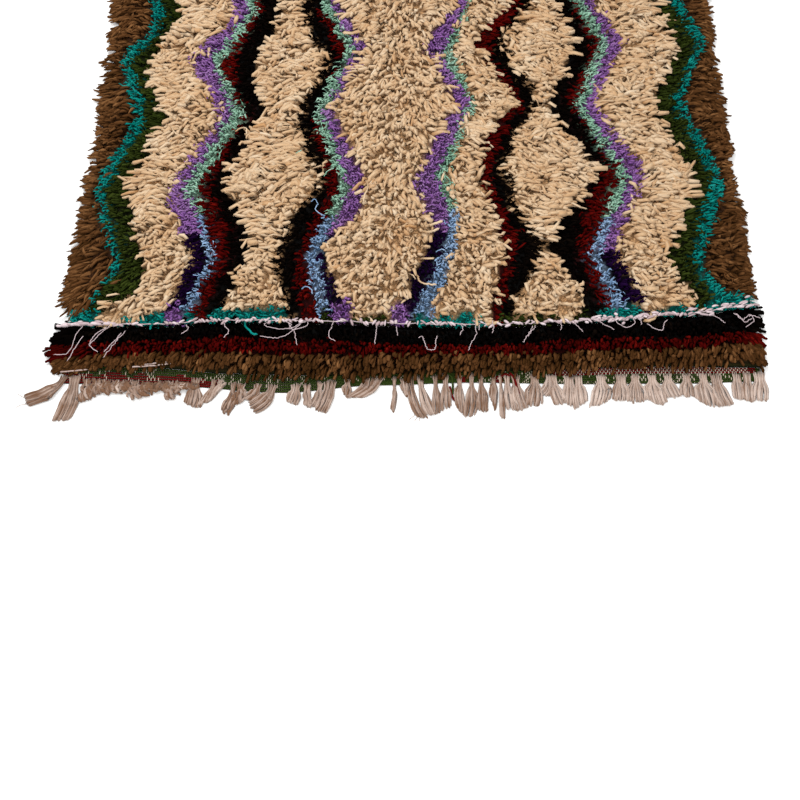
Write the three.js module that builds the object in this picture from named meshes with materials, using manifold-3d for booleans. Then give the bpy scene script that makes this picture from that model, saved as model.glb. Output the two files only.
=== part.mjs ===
// A hand-knotted shag rug lying flat on the floor, face up, in millimetres.
// +X runs across the rug, +Y runs from the fringed near end to the far end, and +Z is up.
// The origin lies under the middle of the rug, on the floor.
//
// The pieces are the knotted field, a knotted border strip that is whipped on across the near end,
// the whipping yarn with its loose ends, the flat-woven band and warp fringe at the near end,
// and the plain flat-woven hem at the far end.
import * as THREE from "three";
import { mergeVertices } from "three/addons/utils/BufferGeometryUtils.js";
import Module from "manifold-3d";

const wasm = await Module();
wasm.setup();

// Driving dimensions
const wovenWidth = 1166; // the ground weave, edge to edge
const farEdge = 900; // the rug's two ends, from the origin
const hemDepth = 35; // the far flat-woven hem, along Y
const pileHeight = 25; // floor to the tips of the leaning pile
const lumpHeight = 4; // how far the pile's lumps rise and fall
const rimDrop = 9; // how much lower the pile is at the rug's sides
const rimReach = 34; // how far in from the sides that drop begins
const overhang = 7; // how far the pile bulges past the ground weave, without its locks
const bulgeHeight = 10; // the height at which it bulges most
const footInset = 0.6; // how far the border's foot is set in, as a share of its bulge
const seamHeight = 14; // the pile is trodden down to this beside the whipping
const seamReach = 30;
const partingX = -20; // the pile parts to both sides along this line, an old fold
const partingDepth = 2.5;
const partingReach = 45;
const lockRadius = 8; // a lock of pile at its root
const lockRoot = 13; // the height that locks spring from
const lockTip = 6; // the height that their tips hang to
const weaveThick = 3;
const yarnRadius = 2.8; // the whipping yarn
const yarnClear = 1; // between the whipping yarn and the faceted pile below it
const endRadius = 1.1; // the whipping's loose ends
const endClear = 3.3; // their middle above the pile, which is faceted below them
const gap = 0.3; // between pieces that touch
const nearSteps = 26; // the straight steps that the near end's lines are drawn in

// Where the border strip is joined on, across the rug
const seamLine = [
  { x: -600, y: -732 },
  { x: -450, y: -730 },
  { x: -300, y: -721 },
  { x: -150, y: -722 },
  { x: 0, y: -727 },
  { x: 150, y: -727 },
  { x: 250, y: -722 },
  { x: 350, y: -715 },
  { x: 450, y: -706 },
  { x: 600, y: -685 },
];
// Where the border's pile stops and the flat weave shows
const pileStart = [
  { x: -600, y: -803 },
  { x: -450, y: -807 },
  { x: -300, y: -818 },
  { x: -150, y: -821 },
  { x: 0, y: -817 },
  { x: 200, y: -810 },
  { x: 400, y: -801 },
  { x: 600, y: -802 },
];
// The outer edge of the near flat weave, where the fringe starts
const nearEdge = [
  { x: -600, y: -837 },
  { x: -400, y: -841 },
  { x: -220, y: -853 },
  { x: -60, y: -838 },
  { x: 100, y: -832 },
  { x: 300, y: -834 },
  { x: 450, y: -832 },
  { x: 600, y: -827 },
];
// The fringe in runs of locks, from left to right: reach is how far a lock lies out from the edge,
// and lean how far its end lies to the right of its root
const fringeRuns = [
  { locks: 2, fromX: -581, toX: -572, reach: 24, lean: -58 },
  { locks: 4, fromX: -562, toX: -535, reach: 64, lean: -6 },
  { locks: 11, fromX: -521, toX: -390, reach: 25, lean: -4 },
  { locks: 9, fromX: -377, toX: -275, reach: 50, lean: -20 },
  { locks: 8, fromX: -262, toX: -165, reach: 38, lean: -16 },
  { locks: 5, fromX: -150, toX: -95, reach: 34, lean: -22 },
  { locks: 9, fromX: -80, toX: 20, reach: 52, lean: 14 },
  { locks: 8, fromX: 34, toX: 126, reach: 58, lean: 4 },
  { locks: 7, fromX: 142, toX: 215, reach: 50, lean: 6 },
  { locks: 13, fromX: 229, toX: 378, reach: 44, lean: 8 },
  { locks: 14, fromX: 392, toX: 578, reach: 46, lean: 10 },
];
// The whipping yarn's loose ends, which lie on the border strip: dx and dy lead from root to tip
const looseEnds = [
  { x: -555, dx: -22, dy: -44 },
  { x: -512, dx: -18, dy: -38 },
  { x: -480, dx: -20, dy: -42 },
  { x: -415, dx: -4, dy: -12 },
  { x: -372, dx: 4, dy: -16 },
  { x: -310, dx: 20, dy: -28 },
  { x: -270, dx: 34, dy: -36 },
  { x: -222, dx: 12, dy: -34 },
  { x: -130, dx: -4, dy: -36 },
  { x: -62, dx: -3, dy: -38 },
  { x: 110, dx: -14, dy: -44 },
  { x: 195, dx: -8, dy: -34 },
  { x: 272, dx: 12, dy: -26 },
  { x: 322, dx: 4, dy: -24 },
  { x: 410, dx: -8, dy: -22 },
  { x: 560, dx: -14, dy: -26 },
];

const halfWidth = wovenWidth / 2;
const hemStart = farEdge - hemDepth;

// The y of a line at x, eased from one of its points to the next.
function lineY(line, x) {
  const last = line.length - 1;
  let i = 0;
  while (i < last - 1 && x > line[i + 1].x) i++;
  const share = THREE.MathUtils.smoothstep(x, line[i].x, line[i + 1].x);
  return THREE.MathUtils.lerp(line[i].y, line[i + 1].y, share);
}

// A number from 0 to 1 that looks random and is the same each time.
function chance(index, salt) {
  const s = Math.sin(index * 12.9898 + salt * 78.233) * 43758.5453;
  return s - Math.floor(s);
}

// How far the rug's sides wander from straight at y: the weaver pulled some rows tighter.
function sideWander(y) {
  return 3 * Math.sin(y / 118) + 2 * Math.sin(y / 43 + 1);
}

// The height of the pile at a place on the rug.
function pileTop(x, y) {
  const lumps = Math.sin(x / 24 + Math.sin(y / 41)) * Math.sin(y / 25 + Math.sin(x / 47));
  const fromSide = halfWidth - Math.abs(x);
  const fromSeam = Math.abs(y - lineY(seamLine, x));
  const fromParting = Math.abs(x - partingX);
  const side = 1 - THREE.MathUtils.smoothstep(fromSide, 0, rimReach);
  const seam = 1 - THREE.MathUtils.smoothstep(fromSeam, 0, seamReach);
  const parting = 1 - THREE.MathUtils.smoothstep(fromParting, 0, partingReach);
  const open = pileHeight + lumpHeight * lumps - rimDrop * side - partingDepth * parting;
  return THREE.MathUtils.lerp(open, seamHeight, seam);
}

// A closed three.js geometry as a solid that can be joined and cut.
function solidOf(geometry) {
  geometry.deleteAttribute("normal");
  geometry.deleteAttribute("uv");
  const merged = mergeVertices(geometry, 1e-4);
  const vertProperties = Float32Array.from(merged.attributes.position.array);
  const triVerts = Uint32Array.from(merged.index.array);
  return new wasm.Manifold(new wasm.Mesh({ numProp: 3, vertProperties, triVerts }));
}

// A solid as a named mesh.
function meshOf(name, solid, material) {
  const made = solid.getMesh();
  const geometry = new THREE.BufferGeometry();
  geometry.setAttribute("position", new THREE.BufferAttribute(made.vertProperties, 3));
  geometry.setIndex(new THREE.BufferAttribute(made.triVerts, 1));
  geometry.computeVertexNormals();
  const mesh = new THREE.Mesh(geometry, material);
  mesh.name = name;
  return mesh;
}

// A slab of pile between two lines across the rug. Its foot is flat, and its face is lumpy.
// bulge says how far its near side stands out at bulgeHeight, over a foot that is set in.
function pileSlab({ across, rows, nearY, farY, bulge }) {
  const box = new THREE.BoxGeometry(1, 1, 1, across, rows, 2);
  const point = box.attributes.position;
  for (let i = 0; i < point.count; i++) {
    const u = 2 * point.getX(i);
    const v = point.getY(i) + 0.5;
    const level = point.getZ(i);
    const half = halfWidth + sideWander(THREE.MathUtils.lerp(nearY(0), farY(0), v));
    const out = level === 0 ? overhang : 0;
    const x = u * (half + (Math.abs(u) > 0.99 ? out : 0));
    const near = nearY(x) - bulge * (level < 0 ? -footInset : Math.round(1 - level));
    const y = THREE.MathUtils.lerp(near, farY(x), v);
    const heights = [0, bulgeHeight, pileTop(x, y)];
    point.setXYZ(i, x, y, heights[Math.round(level * 2) + 1]);
  }
  return solidOf(box);
}

// A pointed lock of pile, four-sided, from a root inside the slab to its tip.
function lock(root, tip) {
  const along = new THREE.Vector3().subVectors(tip, root);
  const cone = new THREE.ConeGeometry(lockRadius, along.length(), 4, 1);
  const turn = new THREE.Quaternion();
  turn.setFromUnitVectors(new THREE.Vector3(0, 1, 0), along.clone().normalize());
  cone.applyQuaternion(turn);
  cone.translate(...new THREE.Vector3().addVectors(root, tip).divideScalar(2).toArray());
  return solidOf(cone);
}

// Locks along one side of the rug, at even steps from startY to endY.
function sideLocks(side, count, startY, endY, salt) {
  const made = [];
  for (let i = 0; i < count; i++) {
    const y = THREE.MathUtils.lerp(startY, endY, (i + 0.5) / count);
    const edge = halfWidth + sideWander(y) + overhang;
    const reach = 7 + 11 * chance(i, salt);
    const drift = 16 * (chance(i, salt + 1) - 0.6);
    const droop = 3 * (chance(i, salt + 2) - 0.5);
    const root = new THREE.Vector3(side * (edge - 15), y, lockRoot);
    const tip = new THREE.Vector3(side * (edge + reach), y + drift, lockTip + droop);
    made.push(lock(root, tip));
  }
  return made;
}

// Locks that lean out over a flat weave, along a line across the rug.
function endLocks(line, count, outward, salt) {
  const made = [];
  const inset = 16;
  for (let i = 0; i < count; i++) {
    const x = THREE.MathUtils.lerp(inset - halfWidth, halfWidth - inset, (i + 0.5) / count);
    const y = line(x);
    const reach = 6 + 7 * chance(i, salt);
    const drift = 9 * (chance(i, salt + 1) - 0.5);
    const root = new THREE.Vector3(x, y - outward * 14, lockRoot + 1);
    const tip = new THREE.Vector3(x + drift, y + outward * reach, lockTip + 1);
    made.push(lock(root, tip));
  }
  return made;
}

// A flat-woven strip between two lines across the rug, lying on the floor.
function flatStrip(near, far, half, steps) {
  const outline = new THREE.Shape();
  const xs = Array.from({ length: steps + 1 }, (_, i) => half * ((2 * i) / steps - 1));
  xs.forEach((x, i) => (i ? outline.lineTo(x, near(x)) : outline.moveTo(x, near(x))));
  xs.reverse().forEach((x) => outline.lineTo(x, far(x)));
  return solidOf(new THREE.ExtrudeGeometry(outline, { depth: weaveThick, bevelEnabled: false }));
}

// A fringe lock: a tapered four-sided bunch of warp ends that lies level on the floor.
// It is narrow and thick where it leaves the weave, and flat and wide at its end.
function fringeLock(rootX, rootY, lean, reach, endWidth) {
  const rootWidth = 5.5;
  const rootThick = 4.2;
  const endThick = 2.4;
  const box = new THREE.BoxGeometry(1, 1, 1, 1, 2, 1);
  const point = box.attributes.position;
  for (let i = 0; i < point.count; i++) {
    const along = 0.5 - point.getY(i);
    const width = THREE.MathUtils.lerp(rootWidth, endWidth, Math.sin((along * Math.PI) / 2));
    const thick = THREE.MathUtils.lerp(rootThick, endThick, along);
    const x = rootX + lean * along * along + point.getX(i) * width;
    point.setXYZ(i, x, rootY - reach * along, (point.getZ(i) + 0.5) * thick);
  }
  return solidOf(box);
}

// A yarn through a row of places, with a section of a few sides.
function yarnAlong(places, { radius, sides, steps }) {
  const section = new THREE.Shape();
  for (let i = 0; i < sides; i++) {
    const turn = (i * 2 * Math.PI) / sides;
    const corner = [radius * Math.cos(turn), radius * Math.sin(turn)];
    i ? section.lineTo(...corner) : section.moveTo(...corner);
  }
  const extrudePath = new THREE.CatmullRomCurve3(places);
  return solidOf(new THREE.ExtrudeGeometry(section, { steps, extrudePath }));
}

// A thin three-sided yarn end that falls from the whipping and lies along the pile.
function looseEnd({ x, dx, dy }) {
  const rootY = lineY(seamLine, x) - 1;
  const places = [0, 0.35, 0.7, 1].map((share, i) => {
    const px = x + dx * share + (i === 1 ? 0.15 * dy : 0);
    const py = rootY + dy * share;
    return new THREE.Vector3(px, py, pileTop(px, py) + endClear);
  });
  return yarnAlong(places, { radius: endRadius, sides: 3, steps: 4 });
}

// The knotted field, one solid: a lumpy slab with locks down both sides and along the far end.
function field() {
  const nearY = (x) => lineY(seamLine, x) + gap;
  const farY = () => hemStart;
  const slab = pileSlab({ across: 26, rows: 34, nearY, farY, bulge: 0 });
  const startY = -690;
  const endY = hemStart - 20;
  return wasm.Manifold.union([
    slab,
    ...sideLocks(-1, 34, startY - 30, endY, 1),
    ...sideLocks(1, 34, startY + 14, endY, 4),
    ...endLocks(farY, 22, 1, 7),
  ]);
}

// The border strip, one solid, with locks at its sides and over the near flat weave.
function border() {
  const nearY = (x) => lineY(pileStart, x);
  const farY = (x) => lineY(seamLine, x) - gap;
  const slab = pileSlab({ across: 26, rows: 4, nearY, farY, bulge: 4 });
  const rimNear = lineY(pileStart, 0) + 14;
  const rimFar = lineY(seamLine, 0) - 6;
  return wasm.Manifold.union([
    slab,
    ...sideLocks(-1, 4, rimNear, rimFar, 11),
    ...sideLocks(1, 5, rimNear + 8, rimFar + 30, 14),
    ...endLocks(nearY, 36, -1, 17),
  ]);
}

// The whipping yarn along the join, with its loose ends, one solid.
function whipping() {
  const turns = 24;
  const reach = halfWidth - 2;
  const places = [];
  for (let i = 0; i <= turns; i++) {
    const x = THREE.MathUtils.lerp(-reach, reach, i / turns);
    const y = lineY(seamLine, x) + 1.2 * (chance(i, 21) - 0.5);
    places.push(new THREE.Vector3(x, y, seamHeight + yarnRadius + yarnClear));
  }
  const yarn = yarnAlong(places, { radius: yarnRadius, sides: 5, steps: 48 });
  return wasm.Manifold.union([yarn, ...looseEnds.map(looseEnd)]);
}

// The near flat weave, which runs from under the fringe to the border's pile.
function nearWeave() {
  const near = (x) => lineY(nearEdge, x);
  const far = (x) => lineY(pileStart, x) - 2 * gap;
  return flatStrip(near, far, halfWidth, nearSteps);
}

// The far hem, plain.
function farWeave() {
  const near = () => hemStart + gap;
  const far = (x) => farEdge + 1.5 * Math.sin(x / 90);
  return flatStrip(near, far, halfWidth, 16);
}

// The warp fringe, one solid: its locks and the narrow strip that they leave, parted from the weave.
function fringe() {
  const stripDepth = 4;
  const strip = flatStrip(
    (x) => lineY(nearEdge, x) - gap - stripDepth,
    (x) => lineY(nearEdge, x) - gap,
    halfWidth,
    nearSteps,
  );
  const locks = fringeRuns.flatMap((run, r) =>
    Array.from({ length: run.locks }, (_, i) => {
      const share = run.locks > 1 ? i / (run.locks - 1) : 0.5;
      const x = THREE.MathUtils.lerp(run.fromX, run.toX, share);
      const y = lineY(nearEdge, x) - gap - stripDepth / 2;
      const reach = run.reach * (0.82 + 0.36 * chance(i, 31 + r)) + i * (r ? 0 : 9);
      const pitch = (run.toX - run.fromX) / Math.max(1, run.locks - 1);
      return fringeLock(x, y, run.lean, reach, Math.min(10.5, pitch - 1.5));
    }),
  );
  return wasm.Manifold.union([strip, ...locks]);
}

// Finishes: matt wool pile, thinner border wool, undyed whipping, and cotton warps
const creamWool = new THREE.MeshStandardMaterial({ color: 0xd8bd94, roughness: 0.95, metalness: 0 });
const brownWool = new THREE.MeshStandardMaterial({ color: 0x5a3a20, roughness: 0.95, metalness: 0 });
const whippingYarn = new THREE.MeshStandardMaterial({ color: 0xd9c6c2, roughness: 0.9, metalness: 0 });
const greenWeave = new THREE.MeshStandardMaterial({ color: 0x26371a, roughness: 0.9, metalness: 0 });
const plainWeave = new THREE.MeshStandardMaterial({ color: 0xc9b59c, roughness: 0.9, metalness: 0 });
const warpCotton = new THREE.MeshStandardMaterial({ color: 0xcbb5a0, roughness: 0.85, metalness: 0 });

const rug = new THREE.Group();
rug.add(meshOf("pile_field", field(), creamWool));
rug.add(meshOf("end_border", border(), brownWool));
rug.add(meshOf("whipping_yarn", whipping(), whippingYarn));
rug.add(meshOf("near_flat_weave", nearWeave(), greenWeave));
rug.add(meshOf("warp_fringe", fringe(), warpCotton));
rug.add(meshOf("far_flat_weave", farWeave(), plainWeave));

export default rug;
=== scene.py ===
# A hand-knotted shag rug, lying face up on a pale floor. Metres, +Z up, +Y away from the fringe.
import math

import bmesh
import bpy
import numpy as np
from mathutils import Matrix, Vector


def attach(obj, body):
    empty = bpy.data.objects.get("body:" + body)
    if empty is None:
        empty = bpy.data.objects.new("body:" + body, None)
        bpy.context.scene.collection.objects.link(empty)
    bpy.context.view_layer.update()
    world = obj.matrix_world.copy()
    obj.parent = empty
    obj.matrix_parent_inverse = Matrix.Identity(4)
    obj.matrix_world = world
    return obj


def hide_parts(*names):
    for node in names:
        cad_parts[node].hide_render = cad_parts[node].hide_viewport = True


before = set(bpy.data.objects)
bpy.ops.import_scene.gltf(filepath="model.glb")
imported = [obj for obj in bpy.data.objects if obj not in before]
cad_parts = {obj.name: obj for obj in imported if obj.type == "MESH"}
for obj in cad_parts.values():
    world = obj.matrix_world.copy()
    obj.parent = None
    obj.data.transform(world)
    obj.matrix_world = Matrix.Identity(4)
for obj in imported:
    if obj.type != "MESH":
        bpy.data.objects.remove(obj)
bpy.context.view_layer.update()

mm = 0.001
print("frame loaded")


# Small helpers

def linear(hexColour):  # an sRGB hex value as the linear colour that shaders take
    channels = [int(hexColour[i:i + 2], 16) / 255 for i in (1, 3, 5)]
    return tuple(c / 12.92 if c <= 0.04045 else ((c + 0.055) / 1.055) ** 2.4 for c in channels) + (1,)


def addNode(tree, kind, settings, inputs):  # a node with its settings, its values and its links
    node = tree.nodes.new(kind)
    for key, value in settings.items():
        setattr(node, key, value)
    for key, value in inputs.items():
        if isinstance(value, bpy.types.NodeSocket):
            tree.links.new(value, node.inputs[key])
        else:
            node.inputs[key].default_value = value
    return node


def lineY(line, x):  # the y of a line across the rug, eased from point to point
    xs, ys = np.array(line, float).T * mm
    i = np.clip(np.searchsorted(xs, x) - 1, 0, len(xs) - 2)
    share = np.clip((x - xs[i]) / (xs[i + 1] - xs[i]), 0, 1)
    return ys[i] + (ys[i + 1] - ys[i]) * share * share * (3 - 2 * share)


def ease(value, low, high):  # 0 below low, 1 above high, and a smooth step between
    share = np.clip((value - low) / (high - low), 0, 1)
    return share * share * (3 - 2 * share)


def newObject(name, data):
    obj = bpy.data.objects.new(name, data)
    bpy.context.scene.collection.objects.link(obj)
    return obj


def coloured(mesh, colours):  # smooth, with a colour at each point
    mesh.polygons.foreach_set("use_smooth", np.ones(len(mesh.polygons), bool))
    layer = mesh.color_attributes.new("yarn", "FLOAT_COLOR", "POINT")
    layer.data.foreach_set("color", colours.astype(np.float32).ravel())


def atHeight(flat, z):  # points across and along the rug, with their heights
    return np.concatenate([flat, z[..., None]], axis=-1)


def lineAt(line, shift=0):  # a line across the rug as a function of x, moved by shift along the rug
    return lambda x: lineY(line, x) + shift


def hump(x, middle, reach):  # 1 at the middle, and smoothly down to 0 at about twice the reach
    return np.exp(-((x - middle) / reach) ** 2)


def wander(x, y, size, seed):  # slow, even drift from about -1 to 1, with waves about size long
    rng = np.random.default_rng(seed)
    total = 0
    for _ in range(5):
        turn, start = rng.uniform(0, 2 * math.pi, 2)
        pace = 2 * math.pi / (size * rng.uniform(0.7, 1.5))
        total = total + np.sin(pace * (x * math.cos(turn) + y * math.sin(turn)) + start)
    return total / 2.4


def through(points, count):  # a smooth line through points, as count evenly shared places
    points = np.array(points, float)
    steps = np.concatenate([[0], np.cumsum(np.linalg.norm(np.diff(points, axis=0), axis=1))])
    padded = np.vstack([2 * points[0] - points[1], points, 2 * points[-1] - points[-2]])
    found = []
    for s in np.linspace(0, steps[-1], count):
        i = min(int(np.searchsorted(steps, s, side="right")) - 1, len(points) - 2)
        t = (s - steps[i]) / (steps[i + 1] - steps[i])
        a, b, c, d = padded[i:i + 4]
        found.append(0.5 * (2 * b + (c - a) * t + (2 * a - 5 * b + 4 * c - d) * t * t
                            + (3 * b - a - 3 * c + d) * t ** 3))
    return np.array(found)


# The rug's own lines, as the CAD draws them: (right of the middle, along the rug), millimetres
rug = {
    "halfWidth": 583 * mm,
    "farEdge": 900 * mm,
    "hemDepth": 35 * mm,
    "seam": [(-600, -732), (-450, -730), (-300, -721), (-150, -722), (0, -727), (150, -727),
             (250, -722), (350, -715), (450, -706), (600, -685)],
    "pileStart": [(-600, -803), (-450, -807), (-300, -818), (-150, -821), (0, -817), (200, -810),
                  (400, -801), (600, -802)],
    "nearEdge": [(-600, -837), (-400, -841), (-220, -853), (-60, -838), (100, -832), (300, -834),
                 (450, -832), (600, -827)],
}
hemStart = rug["farEdge"] - rug["hemDepth"]
# How far out the pile lies at the rug's two sides: (along the rug, from the middle), millimetres
pileEdge = {
    "left": [(-850, 596), (-805, 600), (-782, 619), (-759, 614), (-736, 613), (-712, 616), (-688, 614),
             (-640, 599), (-590, 601), (-565, 613), (-539, 599), (-487, 603), (-434, 597), (-407, 604),
             (-380, 598), (-352, 602), (-295, 606), (-266, 596), (-207, 607), (-150, 603), (-117, 594),
             (-85, 592), (-50, 597), (0, 605), (200, 596), (400, 604), (600, 597), (900, 601)],
    "right": [(-850, 584), (-805, 585), (-782, 596), (-759, 598), (-736, 601), (-712, 606), (-688, 604),
              (-664, 592), (-640, 594), (-590, 588), (-513, 596), (-487, 597), (-461, 587), (-434, 585),
              (-352, 590), (-295, 587), (-266, 593), (-237, 598), (-207, 596), (-147, 592),
              (-117, 588), (-54, 596), (-22, 604), (0, 603), (200, 598), (400, 603), (600, 596),
              (900, 600)],
}

relief = {
    "pileHeight": 25 * mm,
    "lumpHeight": 4 * mm,
    "rimDrop": 9 * mm,
    "rimReach": 34 * mm,
    "seamHeight": 14 * mm,
    "seamReach": 30 * mm,
    "partingX": -20 * mm,
    "partingDepth": 2.5 * mm,
    "partingReach": 45 * mm,
}


def sideWander(y):  # how far the rug's sides wander from straight
    return 3 * mm * np.sin(y / mm / 118) + 2 * mm * np.sin(y / mm / 43 + 1)


def pileTop(x, y):  # the height of the pile, lumps and all
    u, v = x / mm, y / mm
    lumps = np.sin(u / 24 + np.sin(v / 41)) * np.sin(v / 25 + np.sin(u / 47))
    side = 1 - ease(rug["halfWidth"] - np.abs(x), 0, relief["rimReach"])
    seam = 1 - ease(np.abs(y - lineY(rug["seam"], x)), 0, relief["seamReach"])
    parting = 1 - ease(np.abs(x - relief["partingX"]), 0, relief["partingReach"])
    top = relief["pileHeight"] + relief["lumpHeight"] * lumps - relief["rimDrop"] * side
    top = top - relief["partingDepth"] * parting
    return top + (relief["seamHeight"] - top) * seam


# The pattern, charted in bands from left to right: each band's yarn, the yarn of its rows nearer
# the join, how far up those go, and its right side as turning points. All are in millimetres:
# above the foot of the field, and right of the rug's middle.
chart = {"foot": -738 * mm, "repeat": 290, "repeats": 4}
bands = [
    ("brown", "brown", 0, [(0, -603), (30, -571), (115, -524), (285, -581), (450, -522), (600, -567),
     (655, -525), (700, -517)]),
    ("teal", "teal", 0, [(0, -572), (60, -547), (125, -511), (275, -562), (448, -502), (590, -545),
     (650, -504), (700, -494)]),
    ("green", "green", 0, [(0, -560), (65, -480), (115, -472), (290, -522), (448, -468), (585, -518),
     (640, -485), (700, -456)]),
    ("cream", "cream", 0, [(0, -434), (75, -410), (135, -392), (265, -450), (460, -368), (590, -434),
     (705, -356)]),
    ("purple", "aubergine", 188, [(0, -405), (135, -364), (245, -395), (285, -421), (458, -341),
     (590, -393), (715, -330)]),
    ("mint", "blue", 220, [(0, -393), (140, -346), (288, -398), (460, -320), (590, -376), (715, -307)]),
    ("red", "red", 0, [(0, -363), (130, -328), (210, -334), (285, -374), (455, -310), (590, -352),
     (720, -297)]),
    ("black", "black", 0, [(0, -346), (65, -318), (160, -293), (215, -305), (300, -350), (460, -284),
     (565, -314), (600, -305), (735, -263)]),
    ("cream", "cream", 0, [(0, -205), (125, -246), (220, -225), (300, -168), (450, -231), (605, -170),
     (640, -198), (740, -228)]),
    ("black", "black", 0, [(0, -185), (140, -208), (300, -150), (445, -196), (600, -148), (645, -157),
     (720, -195)]),
    ("red", "red", 0, [(0, -156), (145, -190), (292, -134), (462, -192), (622, -132), (712, -172)]),
    ("mint", "blue", 225, [(0, -134), (145, -170), (292, -116), (462, -173), (622, -115), (715, -155)]),
    ("purple", "aubergine", 190, [(0, -105), (150, -156), (255, -89), (300, -89), (462, -155), (635, -93),
     (715, -137)]),
    ("cream", "cream", 0, [(0, -42), (165, 26), (200, 44), (300, 2), (490, 92), (625, 28), (740, 92)]),
    ("purple", "aubergine", 200, [(0, -9), (150, 58), (225, 72), (315, 46), (490, 112), (615, 60),
     (740, 108)]),
    ("mint", "blue", 240, [(0, 29), (150, 79), (230, 87), (315, 71), (490, 125), (615, 85), (740, 121)]),
    ("cream", "cream", 0, [(0, 138), (80, 146), (168, 174), (328, 122), (420, 150), (487, 206),
     (640, 126), (745, 198)]),
    ("red", "red", 0, [(0, 153), (80, 167), (162, 195), (245, 167), (320, 145), (410, 167), (480, 217),
     (555, 187), (600, 161), (645, 153), (740, 221)]),
    ("black", "black", 0, [(0, 184), (45, 178), (155, 238), (260, 195), (340, 170), (410, 205),
     (505, 244), (580, 205), (645, 185), (740, 242)]),
    ("cream", "cream", 0, [(0, 240), (50, 302), (155, 250), (230, 275), (340, 348), (450, 272),
     (505, 270), (580, 305), (650, 322), (740, 288)]),
    ("black", "black", 0, [(0, 334), (35, 331), (150, 293), (270, 318), (340, 364), (500, 296),
     (640, 358), (740, 316)]),
    ("red", "red", 0, [(0, 361), (150, 313), (320, 382), (480, 312), (640, 367), (740, 329)]),
    ("mint", "blue", 225, [(0, 385), (150, 332), (320, 401), (480, 327), (642, 388), (740, 351)]),
    ("purple", "aubergine", 158, [(0, 407), (80, 393), (162, 359), (325, 435), (482, 349), (645, 418),
     (740, 373)]),
    ("cream", "cream", 0, [(0, 506), (50, 490), (150, 449), (230, 488), (315, 522), (400, 488),
     (490, 461), (640, 527), (690, 505), (740, 500)]),
    ("green", "green", 0, [(0, 538), (85, 516), (132, 491), (320, 549), (500, 497), (645, 557),
     (740, 525)]),
    ("teal", "teal", 0, [(0, 603), (45, 583), (100, 523), (132, 506), (310, 571), (500, 512), (650, 578),
     (740, 543)]),
    ("brown", "brown", 0, [(0, 700), (740, 700)]),
]
# The first rows above the join, in runs: yarn, millimetres from and to, and the rows' depth
footRuns = [
    ("teal", -600, -540, 24),
    ("teal", -505, -425, 14),
    ("purple", -425, -396, 34),
    ("teal", -392, -372, 16),
    ("teal", -348, -222, 20),
    ("green", -160, -138, 14),
    ("purple", -138, -106, 38),
    ("green", -106, -36, 12),
    ("purple", -36, -12, 38),
    ("green", -12, 6, 12),
    ("teal", 8, 128, 15),
    ("green", 150, 300, 14),
    ("teal", 318, 395, 18),
    ("teal", 420, 490, 14),
    ("teal", 510, 600, 18),
]
yarnNames = ["cream", "brown", "black", "red", "green", "purple", "mint", "teal", "blue", "aubergine"]


def bandEdge(edge, above):  # a band edge's x, repeated beyond the rows that are charted
    points = [list(p) for p in edge]
    last = points[-1][0]
    unit = [p for p in points if p[0] > last - chart["repeat"] + 20]
    for turn in range(1, chart["repeats"] + 1):
        points += [[p[0] + turn * chart["repeat"], p[1]] for p in unit]
    ys, xs = np.array(points, float).T
    return np.interp(above, ys, xs)


def yarnAt(x, y):  # which yarn shows at a place on the field, as an index into yarnNames
    above = (y - chart["foot"]) / mm
    across = x / mm + 2.5 * wander(x, y, 0.03, 4)
    step = above + 4 * wander(x, y, 0.05, 5)
    edges = np.array([bandEdge(edge, step) for _, _, _, edge in bands])
    edges = np.maximum.accumulate(edges, axis=0)
    index = np.minimum((across > edges).sum(axis=0), len(bands) - 1)
    main = np.array([yarnNames.index(yarn) for yarn, _, _, _ in bands])
    low = np.array([yarnNames.index(nearYarn) for _, nearYarn, _, _ in bands])
    below = np.array([height for _, _, height, _ in bands])
    found = np.where(above < below[index], low[index], main[index])
    fromSeam = (y - lineY(rug["seam"], x)) / mm
    for yarn, start, end, deep in footRuns:
        hit = (x / mm > start) & (x / mm < end)
        hit &= fromSeam < deep + 3 * wander(x, y, 0.04, 6)
        found = np.where(hit, yarnNames.index(yarn), found)
    return found


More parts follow.
